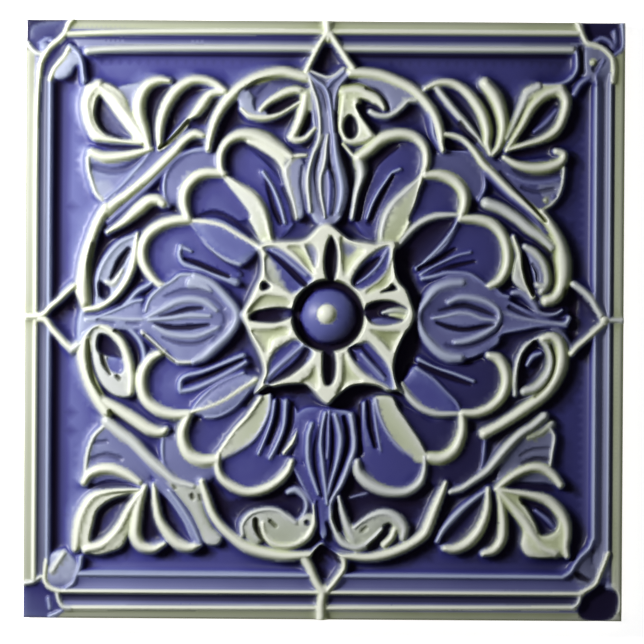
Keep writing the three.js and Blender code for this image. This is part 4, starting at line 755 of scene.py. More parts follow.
def petals_top():
    patch("-24.5,42 -23,44.7 -20.5,44.3 -15,40 -11,35 -9,30 -7.5,25 -12,20.5 -14,24 -16,29 -20,33 "
          "-24.5,36", FLOOR, BLUE, tilt=(0.02, -0.01))
    patch("24.5,42 23,44.7 19,45 13,41 10,36 8.5,30 7.5,25 12,20.5 15,25 17,30 21,34 24.5,38",
          FLOOR, BLUE, dark=0.15)
    ridge("-8.5,41.2 -12,43.5 -15,45.3 -18,46.6 -21.5,46.8 -24.5,45.3 -26.3,42.5 -26.5,39 -25.3,35.5",
          [0.8, 1.5, 1.9, 1.6, 1.2, 1, 0.9, 0.8, 0.6], 9.9, CREAM)
    patch("-9,41 -14,44 -19,45.8 -20,45 -16.9,43.3 -12.3,40.1 -10.2,36.5 -9,36",
          9.3, CREAM, tilt=(0.05, 0.05))
    patch("-10,40 -7.5,41 -5.5,40.5 -5,36 -5.2,31 -5.5,26 -7,25.5 -8.2,29 -9.2,33.5 -10.2,37",
          9.0, SLATE, bulge=0.3)
    ridge("-8.5,40.5 -9.8,38 -9.1,34 -8,30 -7.3,26", [0.6, 1, 0.8, 0.6, 0.5], 9.5, PALE)
    ridge("-9,41.2 -6.5,41.7 -4.8,41.8", [0.5, 0.5, 0.35], 9.5, CREAM)
    groove("-5.7,39 -6,34.5 -5.3,30 -4.9,27", 0.45, 8.3, dark=0.35)
    ridge("-25.6,36.5 -22,33.8 -18.5,31.5 -16,28 -14.8,24 -14,19.7",
          [0.4, 0.9, 1.1, 1.1, 1, 0.9], 9.5, CREAM)
    patch("-25.7,36.5 -21,33 -17.8,30 -15.5,26 -14.5,22 -13.8,19.5 -16,19.8 -18.5,24 -21.5,29 -24,33",
          9.0, IVORY, tilt=(0.12, 0.1))
    groove("-15.2,36 -14,32 -12.8,28 -11.3,24.8", [0.4, 0.6, 0.7, 0.7], 6.7, dark=0.95)
    ridge("-15.8,37.5 -13.2,33.5 -11.2,28.5 -10.2,24.7", 0.35, 8.9, HAZE)
    groove("-10.7,33.5 -8.9,29.5 -7.8,25.2", 0.5, 7.0, dark=0.75)
    ridge("8.5,41.3 11,43.2 14,45.8 17,47 20,47.3 23,46.5 25.2,44 25.7,40.5 25,37.5",
          [1.2, 1.4, 1.5, 1.3, 1.2, 1.1, 1, 0.9, 0.7], 9.9, CREAM)
    ridge("8.5,41.3 9.3,37 8,32 7.3,28 6.9,26", [1.6, 1.3, 0.8, 0.6, 0.4], 9.5, PALE)
    ridge("25,38 23.8,35.5 21,33 18,30.3 15.8,27 14.6,23 14.3,19.7",
          [0.5, 0.8, 1, 1, 1, 0.9, 0.8], 9.4, PALE)
    patch("25,38 24,34 23,30 21.5,25.5 19.5,21.5 18,19.5 15,19.8 15.3,22 16,25 17.5,28.5 20.5,31.8 "
          "23.3,35.5", 9.0, IVORY, tilt=(-0.08, 0.05))
    ridge("24.5,37 24,34 23,30 21.5,25.5 19.5,21.5 18.3,20", 0.45, 9.4, CREAM)
    groove("18,44.5 13,40 11,36 9.5,32 8.3,26", 0.85, 6.8, dark=0.85)
    ridge("19,38.5 17,37.5 15.2,35 13.5,32.5 12,29.5 10.8,26", 0.3, 8.8, HAZE)
    groove("17.3,37 15,33 13,29 11.4,25", [0.4, 0.7, 0.8, 0.7], 6.8, dark=0.95)


def petals_side_top():
    patch("-26,36 -30,36.3 -33,34.5 -35,32 -34.6,27 -32,26.3 -27,27 -22,25 -19,26 -22,31 -25,34.5",
          FLOOR, BLUE, dark=0.05)
    patch("26,36 29,36 32.5,34 34.3,31 33.8,27.5 30,27.5 25,26.3 21.5,25.3 23,30 24.5,34.5",
          FLOOR, BLUE, dark=0.15)
    groove("-33.5,25.8 -28,27.3 -23.5,25.5 -18.5,21.5", [0.3, 0.6, 0.6, 0.4], 7.0, dark=0.8)
    ridge("-25.5,37 -30,37.2 -33,36 -35.3,33 -35.8,29.5 -34.6,25.6",
          [0.7, 1.1, 1.3, 1.3, 1.2, 0.8], 9.8, CREAM)
    ridge("25.5,37 29.5,37 33,35.5 35.2,32.5 35.3,29 34,26", [0.8, 1.2, 1.4, 1.4, 1.2, 0.8], 9.8, CREAM)
    patch("-34.3,24.8 -31.5,25.8 -27,25.8 -22,23.3 -18,20 -17,18.3 -18.5,15.5 -21,13.8 -25,15.3 -29,18 "
          "-32,21.5", 8.5, BLUE, bulge=0.8)
    ridge("-34,25 -30.5,24.8 -26,23.8 -22,21.5 -17.5,19", [0.4, 0.6, 0.7, 0.7, 0.5], 9.4, CREAM)
    ridge("-34,24.2 -32,20.6 -29,17.6 -25.6,15.5 -21.5,14", [0.3, 0.5, 0.6, 0.5, 0.3], 9.2, SLATE)
    groove("-32,19.8 -27.5,15.9 -24.3,13.6 -20.8,11.6", [0.3, 0.5, 0.6, 0.6], 6.9, dark=0.92)
    # The pocket between the upper right petals is painted nearly black: painted shade
    patch("18.3,18 20,21.5 23,24 27,26.3 31,27.3 34,27 33.3,25.5 31.5,21 28,17 24,13.5",
          7.2, BLUE, dark=0.85)
    ridge("18.5,18.8 21,22 24,24.7 28,26.5 34,27", [0.5, 0.8, 0.8, 0.8, 0.4], 9.4, PALE)
    ridge("33.8,26.5 33,24 31,21 28,17.5 25.5,15", 0.4, 9.2, HAZE)
    patch("-35,24.5 -38,24 -42,22.5 -44.3,20 -45,17.5 -44.7,14 -43,11 -40.5,9.5 -38,11.3 -34,12.3 "
          "-30,11.5 -25,9.5 -21,11.5 -26,15 -30,18.5", FLOOR, BLUE, bulge=0.2)
    ridge("-34.5,25.3 -38,25 -42,23.6 -45,21 -46.3,17.5 -45.8,14 -44,11 -42,9 -40.3,8.4",
          [1, 1.1, 1.2, 1.2, 1.2, 1.1, 0.9, 0.7, 0.5], 9.8, CREAM)
    ridge("-36.5,18.5 -36.9,16.5 -35.8,14.3 -33.5,13.3 -30,12.5 -27,11.2 -22.5,9.5",
          [0.5, 0.5, 0.5, 0.5, 0.6, 0.7, 0.8], 9.1, HAZE)
    ridge("-36.8,18.6 -35.4,18 -33.8,17.3", [0.4, 0.4, 0.2], 8.9, HAZE)
    groove("-35.5,15.4 -32.5,14.4 -28.5,12.7 -24.3,11", [0.4, 0.7, 0.7, 0.5], 6.9, dark=0.97)
    patch("36,24.5 39,24.5 41.8,23.3 44,21 45,17.5 44.8,14 43,10.8 41,9.3 38,12 34,13 29,11.8 24.5,10.5 "
          "24,13.3 27,15.7 31,20 33.5,24", FLOOR, BLUE, dark=0.1, bulge=0.2)
    ridge("34.5,26 39,25.8 42.5,24.7 45,22 46.3,18 46.2,14 44.5,10.5 41.3,8.6",
          [0.8, 1.1, 1.2, 1.2, 1.2, 1.2, 1.1, 0.7], 9.8, CREAM)
    ridge("23.5,13.3 26,15.2 30,18.5 32,21.5 33.5,25", 0.4, 8.9, HAZE)
    ridge("24.3,11.7 27,13.5 30,15 34,16.8 37,17.5", 0.35, 8.7, HAZE)
    groove("24,13.2 27,14.7 30.5,16.7 33,18.4", [0.6, 0.7, 0.7, 0.4], 6.8, dark=0.92)
    groove("25.4,11 29,12.6 33,14 38,15.2", [0.3, 0.6, 0.6, 0.4], 6.8, dark=0.95)


def petals_side_bottom():
    patch("-41,-9.5 -43,-11 -44.6,-14 -44.8,-17 -43.7,-20 -41,-22 -37,-23 -33,-22.5 -30,-19.5 -25,-15.5 "
          "-20,-12.5 -20,-9 -26,-11 -32,-12.3 -37,-11.5", FLOOR, BLUE, bulge=0.1)
    ridge("-40.8,-8.3 -43.8,-10 -45.8,-13 -46.2,-17 -45,-20.5 -42,-23 -38,-24.2 -34,-24",
          [0.7, 1.1, 1.3, 1.3, 1.2, 1.2, 1.1, 0.9], 9.8, CREAM)
    ridge("-36.5,-17.8 -36.3,-15.5 -35,-14.4 -31,-13.3 -27,-11.8 -23,-10.1 -20.5,-9.1", 0.45, 9.1, HAZE)
    groove("-35,-16.2 -31,-14.8 -26,-12.7 -20.8,-10.2", [0.5, 0.7, 0.7, 0.5], 6.9, dark=0.92)
    ridge("-36.3,-18.3 -33,-17.6 -28,-15.4 -23.5,-13 -19.9,-10.8", [0.4, 0.6, 0.7, 0.7, 0.4], 9.0, HAZE)
    patch("-33.7,-23.6 -31,-19.8 -28,-17.5 -24.5,-15.3 -20,-13.7 -17,-15 -18,-17.5 -20.5,-20.3 -23.5,-23 "
          "-27,-24.6 -30,-24.8", 8.5, HAZE, bulge=0.8)
    ridge("-33.7,-23.4 -31,-19.8 -28,-17.3 -24.5,-15.2 -20.5,-13.5", 0.4, 9.1, HAZE)
    ridge("-33.3,-23.4 -29,-22 -25,-20.2 -21,-17.5 -17.3,-15.2", [0.4, 0.5, 0.6, 0.8, 0.6], 9.5, CREAM)
    ridge("-30,-24.8 -27,-24.5 -23.5,-22.8 -20.5,-19.8 -17.8,-16.3", 0.35, 9.1, HAZE)
    patch("-27,-25.5 -31,-25.2 -34,-26.5 -34.6,-29.5 -34,-32.5 -32,-34.3 -28,-34.5 -24.5,-31.5 -21.5,-28 "
          "-19,-24 -20.5,-21.8 -23.8,-24.2",
          FLOOR, BLUE, dark=0.15)
    ridge("-34.2,-24.2 -35.8,-28.5 -35.5,-31.5 -34,-34.3 -31,-35.8 -27.3,-35.7",
          [0.8, 1.2, 1.3, 1.4, 1.4, 1.2], 9.8, CREAM)
    patch("41.5,-9.5 43.5,-10.8 44.8,-13 44.8,-16 43.5,-19 41,-21.2 38,-22.2 35,-21.8 33,-19 29.5,-15 "
          "24,-11.7 24,-9.7 30,-11.5 36,-11.3",
          FLOOR, BLUE, dark=0.55, bulge=0.1)
    ridge("41.8,-8.6 44.3,-9.5 46,-12.5 46.2,-16 44.8,-19.5 42,-22 38.5,-23.3 35.2,-23.2",
          [0.7, 1.2, 1.3, 1.3, 1.2, 1.1, 1, 0.7], 9.7, CREAM)
    ridge("24,-9.8 28,-11.8 33,-13.3 38,-15.2", 0.4, 8.8, HAZE)
    groove("24.3,-11 28,-12.7 33,-14.6 37.3,-16", [0.5, 0.7, 0.7, 0.4], 6.8, dark=0.95)
    patch("19.5,-15.8 21,-18.5 24,-21.5 28,-23.5 32,-24 34.5,-23.5 33,-19.5 30,-16 26,-13 22.5,-11.5 "
          "21,-13.5", 8.4, BLUE, bulge=0.7)
    ridge("19.8,-15.8 21.5,-19 24.5,-21.8 28.5,-23.4 34,-23.5", [0.4, 0.7, 0.8, 0.8, 0.5], 9.4, PALE)
    ridge("23.5,-12 28,-15 31,-18 33.8,-21 34.8,-23.5", 0.45, 9.0, HAZE)
    patch("27,-25.3 31,-25.3 34,-26.3 33.8,-29.5 32,-32.3 29.5,-33.6 26.5,-33.3 24,-29.5 21,-25.5 "
          "20,-22.7 23.5,-23.3", 7.6, BLUE, dark=0.6)
    ridge("34.9,-23.5 35.3,-26 34.8,-29.5 33,-33 30,-34.8 26.7,-34.6",
          [0.7, 1, 1.2, 1.5, 1.6, 1.3], 9.7, CREAM)


def petals_bottom():
    patch("-25.5,-37 -24.5,-39.5 -22,-41 -18.5,-42.3 -15,-41.7 -12,-39.7 -9.5,-37 -8,-33.5 -7,-29 "
          "-6.5,-23 -10,-20 -13.5,-20 -14.5,-24.5 -16.5,-29 -20,-32.3 -25,-34.8", 8.0, BLUE, dark=0.05)
    patch("-16,-19.8 -13.7,-18.5 -13.7,-22 -15.3,-26.5 -18,-30.5 -22,-33.3 -25.5,-35 -26,-33 -22.5,-28 "
          "-19,-24", 8.9, IVORY, tilt=(-0.08, 0.02))
    ridge("-16,-19.8 -19,-24.2 -22.5,-28.2 -26,-33.2", 0.55, 9.5, CREAM)
    ridge("-13.6,-19 -13.8,-22.5 -15.3,-26.7 -18,-30.6 -22,-33.4 -25.5,-35.2", 0.4, 9.0, SLATE)
    ridge("-26.5,-34 -26.8,-37 -25.8,-40 -23,-42.3 -19,-43.7 -15,-43 -11.5,-41 -9,-38.3 -8,-35.8",
          [0.6, 0.7, 0.9, 1, 1, 1.1, 1, 0.9, 0.6], 9.8, CREAM)
    groove("-11.4,-20.3 -12,-25.5 -14,-31.5", [0.6, 0.9, 0.6], 6.8, dark=0.95)
    groove("-8,-21 -8.6,-26.5 -10.2,-31 -11.3,-33.8", [0.7, 0.9, 0.9, 0.5], 6.8, dark=0.97)
    ridge("-12.4,-20.5 -13.1,-25 -15,-30.5 -16.5,-34", 0.28, 9.0, HAZE)
    ridge("-9.6,-20.7 -10.1,-27 -12,-32 -13.6,-35", 0.42, 9.0, HAZE)
    ridge("-5.2,-24.7 -6.2,-28 -8,-31.2 -10,-33.7", [0.35, 0.45, 0.5, 0.35], 9.4, CREAM)
    patch("25,-37.5 23.8,-40 21,-42 18,-42.3 14.8,-41.5 11.5,-39 9.8,-36 8.9,-31 8.2,-24 10,-20.5 14,-20 "
          "15,-25 18,-30 22,-33.5 25.2,-35.3",
          7.9, BLUE, dark=0.0, bulge=0.5)
    patch("12.7,-19.5 17.5,-19.3 19,-22 22,-26.5 25,-31 26.3,-34.5 24.5,-36 22,-34.3 18.5,-31.5 16,-27.5 "
          "14,-23", 8.9, IVORY, dark=0.1, tilt=(0.08, 0.02))
    ridge("25.7,-34.5 25.6,-38 24.5,-41 21.5,-43.2 18,-43.6 14.5,-42.8 11,-40.8 8.9,-38.3 8.6,-35.8",
          [0.5, 0.6, 0.9, 1, 1.1, 1.3, 1.4, 1.2, 0.7], 9.7, PALE)
    ridge("13.2,-20 14.2,-24 16.2,-28.3 19,-31.8 22.5,-34.4", 0.4, 9.0, SLATE)
    groove("11.3,-20.5 11.9,-26.5 13.2,-32", [0.6, 0.8, 0.5], 6.8, dark=0.97)
    groove("9,-21.5 8.9,-29 9.6,-33.5", [0.6, 0.8, 0.5], 6.8, dark=0.97)
    ridge("12.6,-21 13.4,-27 14.5,-33", 0.35, 8.8, HAZE)
    ridge("10.2,-21 10.3,-27 11.3,-32 12,-35", 0.3, 8.5, HAZE)


def bud_top():
    patch("-4.3,62 -3,57 -1.8,52 -1.2,48 -2.2,44 -4,40 -4.6,34 -4,28 -2,24.5 3,24.5 5.8,30 6.2,35 5,41 "
          "3,46 2.4,50 2.7,56 3.7,60 5.6,62.8 2,61.5", 9.2, SLATE)
    patch("0.3,58.8 1.2,60.7 3,62 5,62.8 3.6,60.3 2.6,57.5 2.2,55 1.4,54.5", 8.9, SLATE, dark=0.1)
    groove("-4,62.7 -2.5,62 -1,61.1 0.1,60.3", 0.4, 8.0, dark=0.5)
    groove("-2.8,60.5 -1.5,59 -0.6,57.5 0,55.5 0.2,53.5", [0.2, 0.35, 0.4, 0.4, 0.2], 8.3, dark=0.5)
    groove("2.6,55 2.7,50 3.1,46 4.2,42 5.3,38.5 6,35.5 6.4,33 6.1,30.5 5.4,27.3",
           [0.3, 0.4, 0.4, 0.4, 0.4, 0.4, 0.45, 0.45, 0.3], 7.2, dark=0.9)
    groove("-0.6,46.3 -1.3,44 -1.8,41.5 -2.4,38.8 -2.5,36 -2.1,33 -1.5,30 -0.5,26.6",
           [0.2, 0.35, 0.4, 0.4, 0.35, 0.3, 0.35, 0.3], 7.8, dark=0.75)
    groove("0.8,45.5 0.9,42 1,39.5 2,37 2.6,35 2.8,32 2.5,29 1.9,26.8",
           [0.15, 0.3, 0.55, 0.45, 0.4, 0.4, 0.4, 0.25], 7.5, dark=0.85)
    ridge("-4.3,62 -3.2,58.5 -2.3,56 -1.7,53 -1.4,50 -1.4,47.5 -1.9,45 -2.9,42.5 -3.8,39.5 -4.3,37 "
          "-4.4,34 -4.1,31 -3.7,27.6",
          [0.4, 0.45, 0.45, 0.45, 0.4, 0.4, 0.4, 0.4, 0.45, 0.45, 0.5, 0.5, 0.4], 10.1, PALE)
    ridge("-4.2,62.2 -2.3,60.6 -0.5,59.3 0.3,58 0.9,56 1.3,53.5 1.6,51 1.9,48 2.3,45", 0.4, 10.1, HAZE)
    ridge("2.2,47 2.5,43.5 3.1,40 3.8,37 4.3,34 4.2,31 3.4,27.5",
          [0.5, 0.7, 0.9, 1.0, 1.1, 1, 0.6], 10.3, HAZE)
    ridge("0.6,47 0.2,44 0,41 -0.5,38.5 -1.1,36.5 -1.2,34 -0.9,31 -0.3,28 0,26",
          [0.25, 0.4, 0.5, 0.5, 0.45, 0.45, 0.4, 0.3, 0.2], 10.1, PALE)
    ridge("-0.8,46.8 -1.6,44.5 -2.5,42.8", 0.3, 9.9, PALE)
    ridge("0.8,37.5 1.2,34 1.1,30 0.9,27", [0.3, 0.6, 0.6, 0.4], 9.7, BLUE)
    ridge("-4.2,63.4 -2.5,62.6 -1,62 0.5,61.6 2,62 4.6,63.9", 0.35, 9.6, PALE)
    ridge("0.3,59 1.5,60.6 3,61.8 4.6,63.2", 0.4, 9.8, HAZE)
    ridge("5.9,62.5 4.5,61 3.3,59.5 2.7,58 2.3,56 2.2,53.5", 0.35, 9.6, SLATE)


def bud_bottom():
    patch("-3.6,-25 -4.4,-32 -3.6,-38 -2.6,-43 -2.3,-46.5 -1.8,-50 -0.5,-55 0.8,-56 1.2,-52 2,-48 "
          "4,-43.5 6.5,-39 8.4,-34 8.4,-30 7.6,-23.5 2.5,-22.3 -1,-22.3", 9.0, BLUE, dark=0.1)
    patch("-7.5,-37 -6,-36 -4,-37 -3.4,-40 -2.4,-44 -2.6,-46.5 -4,-44.3 -5.6,-41.3", 8.7, BLUE, dark=0.05)
    ridge("-7.2,-37.8 -5.6,-41 -4.1,-43.8 -2.6,-46.7", 0.3, 9.0, HAZE)
    patch("-6.5,-23.5 -4,-22 0.5,-22.5 0,-26 -3,-26.5 -4.5,-30 -5.5,-36 -7.5,-35 -6.8,-29",
          8.2, BLUE, dark=0.0)
    groove("0.2,-23.8 -0.9,-27 -1.7,-30 -2.2,-33 -2,-37 -1.2,-41 -0.2,-44.8",
           [0.25, 0.4, 0.45, 0.5, 0.5, 0.45, 0.25], 7.6, dark=0.85)
    groove("1.9,-24.5 2.4,-29 2.3,-34 1.9,-38 1.2,-42.3", [0.3, 0.45, 0.5, 0.45, 0.3], 7.2, dark=0.95)
    groove("5.2,-24.5 6,-28 6,-32 4.9,-36 3.2,-40.5 1.8,-45",
           [0.5, 0.65, 0.7, 0.6, 0.5, 0.3], 7.0, dark=0.97)
    groove("0.5,-25 0.3,-29 0.4,-33 0.7,-35.5", 0.3, 8.2, dark=0.6)
    ridge("-3,-26.3 -3.8,-29 -4,-32 -3.9,-35 -3.3,-38 -2.3,-41 -1.2,-44",
          [0.4, 0.5, 0.55, 0.55, 0.5, 0.45, 0.3], 9.9, HAZE)
    ridge("0.4,-23.5 -0.2,-26 -0.6,-29 -0.7,-32 -0.3,-35.5 0.1,-39 0.5,-42 1,-46.5",
          [0.3, 0.35, 0.4, 0.45, 0.5, 0.5, 0.45, 0.3], 10, HAZE)
    ridge("1.4,-23 1.3,-27 1.2,-31 1,-35", 0.28, 9.5, HAZE)
    ridge("2.9,-24 3.8,-27 4.3,-30 4,-33.5 3.2,-37 2,-41 1.3,-44.3",
          [0.5, 0.6, 0.65, 0.6, 0.5, 0.4, 0.3], 9.8, HAZE)
    ridge("7,-24 7.6,-28 7.9,-31 7.6,-33.5 6.6,-36 5.6,-39 4.3,-42 3,-44 1.9,-46.5 1.8,-50",
          [0.5, 0.6, 0.6, 0.6, 0.6, 0.55, 0.5, 0.4, 0.35, 0.3], 9.6, SLATE)
    groove("0.9,-51.3 1.7,-53.2 2.6,-55", [0.3, 0.6, 0.3], 6.8, dark=0.75)
    patch("0.5,-55.5 2,-54.3 4.5,-57.2 8,-58.7 4,-59 1.5,-57.6", 7.0, BLUE, dark=0.1)
    groove("-1.4,-46 -1.2,-49.5 -1,-53.5", 0.3, 7.6, dark=0.6)


def bud_left():
    patch("-45.7,1.3 -44.8,4.6 -41.8,8 -38.8,9.8 -36.9,11.4 -34.5,11.8 -31.5,11 -28.5,9.4 -24.8,5.8 "
          "-22.5,2.8 -22,0 -23.6,-3.2 -27.3,-6.9 -30.3,-9.8 -33.9,-11 -36.9,-10.5 -39.4,-8.1 -41.8,-6 "
          "-44.8,-3.5 -50,-2.5 -57,-1.2 -61.5,0 -54,1.5 -48,3", 8.8, HAZE, bulge=0.4)
    patch("-61.7,2.4 -60,0.7 -57,0.5 -54,1.3 -50,3.3 -46.5,4.2 -46.2,0 -50,-2.5 -57,-1.3 -60,-3 -62.3,-6 "
          "-62.8,-2",
          8.9, HAZE, bulge=0.3)
    patch("-34.3,10.6 -31,10 -28.4,7 -31.5,7.3 -34.8,8", 9.8, SLATE)
    ridge("-45.4,2 -44.3,5 -41.5,7.9 -38.6,9.7 -36.6,11.2 -34,11.4", 0.35, 9.6, SLATE)
    ridge("-33,11.2 -28.6,9.2 -24.9,5.6 -22.7,2.7 -22.3,0 -23.8,-3 -27.4,-6.6 -30.4,-9.4 -33,-10.7",
          [0.6, 0.8, 0.9, 0.9, 0.9, 1.1, 1.4, 1.2, 0.6], 9.9, SLATE)
    ridge("-46.2,-3.3 -43.5,-5.6 -41,-7.8 -39,-9.7 -37,-10.8 -34,-10.9", 0.4, 9.6, PALE)
    ridge("-45,0.4 -40.5,2.8 -37.5,4.4 -34,5.1 -30.3,4.5 -27.3,2.3",
          [0.4, 0.9, 1.1, 1.1, 1.0, 0.5], 9.9, SLATE)
    groove("-41.8,0.7 -38.8,1.3 -34.5,2.6 -31,2.9", [0.3, 0.5, 0.6, 0.4], 7.8, dark=0.9)
    ridge("-44.5,-0.2 -39,0.3 -34,1 -29,0.9", [0.4, 0.5, 0.7, 0.4], 9.9, SLATE)
    groove("-43,-1.1 -38.8,-2 -34.5,-2 -29.2,-1.3", [0.3, 0.7, 0.8, 0.3], 7.6, dark=0.9)
    ridge("-43,-1.8 -39.5,-3.6 -36,-4.2 -32,-4.1 -27,-2", [0.4, 0.7, 0.8, 0.8, 0.5], 9.7, SLATE)
    groove("-41,-4.6 -36.5,-6 -31.5,-5.9 -27.8,-4", [0.3, 0.5, 0.5, 0.3], 8.5, dark=0.45)
    groove("-40,5.9 -36,7 -32,7 -28,5.6 -25.4,3", [0.4, 0.9, 1.0, 0.8, 0.4], 8.5, dark=0.2)
    groove("-26,2.5 -25,0.5 -25.6,-2.5 -28,-5.5", [0.4, 0.8, 0.8, 0.4], 8.7, dark=0.2)
    ridge("-58,0.2 -53.5,2 -50,3.6 -48,4.5 -46.2,4.8", 0.35, 9.6, HAZE)
    ridge("-51,3.3 -49.5,4.6 -48,6.4 -46.8,7.4 -45,8.4 -43.6,9.4",
          [0.3, 0.5, 0.5, 0.5, 0.4, 0.4], 9.4, HAZE)
    ridge("-60,-0.2 -55,0.3 -50,0 -46,0", [0.9, 0.6, 0.5, 0.5], 9.5, SLATE)
    groove("-57.3,-0.3 -55.3,-0.9 -53.3,-1.2", 0.45, 8.3, dark=0.3)
    groove("-50,-1 -48,-1.2 -46.8,-1.2", 0.35, 8.4, dark=0.35)
    # A dark line below the bud's lower edge: painted shadow
    groove("-45.6,-4.2 -43.5,-6.2 -41.5,-7.9 -40,-9.2 -37.8,-10.9", 0.3, 7.4, dark=0.6)


def bud_right():
    patch("24,2 26,6.5 29,10 32,12 36.3,11.6 41,8.8 46,6 52,3 58,0.5 62,-0.5 56,-1.4 50,-2 46,-3.3 44,-6 "
          "41,-7.8 38,-9.3 35,-9.8 30,-8.5 27,-5.5 24.5,-2", 8.8, HAZE, bulge=0.2)
    patch("26.5,4 29,7 32,8.8 34.5,9.2 33,6.5 31,4.5 32,2.5 27,1.5",
          8.8, HAZE, dark=0.15, tilt=(-0.05, 0.1))
    ridge("34.8,9.8 31.5,9.4 28.2,7.9 26,5.2 24.4,2.8 24,0.8 24.9,-2.6 28.5,-7.2 31.8,-9 34.5,-9.3",
          [1.2, 1.5, 1.3, 0.9, 0.7, 0.7, 0.9, 1.2, 1.5, 1.1], 9.9, SLATE)
    groove("29,2.6 32.1,3.4 35.7,4 40,2.8 43,1.6", [0.2, 0.5, 0.7, 0.6, 0.3], 7.7, dark=0.85)
    ridge("31.5,4.8 34.5,6 38.2,5.8 41.8,4.6 44,2.8 44.4,1 43,-1.4 40,-3.4 36.3,-4.9 33.3,-5.4",
          [0.6, 0.9, 0.9, 0.7, 0.6, 0.6, 0.7, 0.9, 1.0, 0.6], 9.9, SLATE)
    patch("28,0.5 31,1.4 34,2.1 37.5,1.8 42,0.2 39,-0.9 35,-1.2 31,-0.6", 9.2, HAZE, bulge=0.3)
    ridge("27.6,0.7 30.9,1.3 33.9,2 37,1.8 40,0.7 43.6,0.2", [0.3, 0.4, 0.5, 0.5, 0.4, 0.4], 9.8, SLATE)
    groove("28.5,-0.4 32.1,-1.6 35.7,-2.1 40.6,-1.3 43,-0.8", [0.3, 0.6, 0.6, 0.5, 0.2], 7.4, dark=0.97)
    groove("31,-6.2 35,-6.6 38.5,-5.8 41.5,-4.4 43.8,-2.7 45,-0.7",
           [0.3, 0.6, 0.6, 0.5, 0.4, 0.3], 8.2, dark=0.5)
    ridge("24.8,10.7 28,11.4 31,12.2 34,12.2 37,11.7 39.5,10.2 41.5,8.8",
          [0.3, 0.5, 0.6, 0.6, 0.6, 0.5, 0.4], 9.2, HAZE)
    ridge("41,9 43.5,8 45,6.7 46.7,6.2", 0.45, 9.2, HAZE)
    groove("47,3.6 49,2.6 51.5,1.5 53.5,0.9", [0.6, 0.5, 0.3, 0.15], 7.8, dark=0.7)
    ridge("45.5,2.3 49,1.1 52,0.5 55,0 58,-0.3 61.3,-0.4 62.1,1", 0.45, 9.3, SLATE)
    ridge("45.6,-2.8 48,-2.2 51,-1.6 54,-1 58,-0.8 61.3,-1", 0.45, 9.1, HAZE)
    patch("45,-3.8 50,-2.7 55,-1.8 53.5,-3.6 50.3,-5.6 48.6,-8.5 46.5,-8 45,-6.5", 6.9, BLUE, dark=0.6)
    ridge("58,-1.6 60.3,-2.8 62,-5.3 63.2,-7.6", [0.5, 0.6, 0.5, 0.3], 8.5, SLATE)


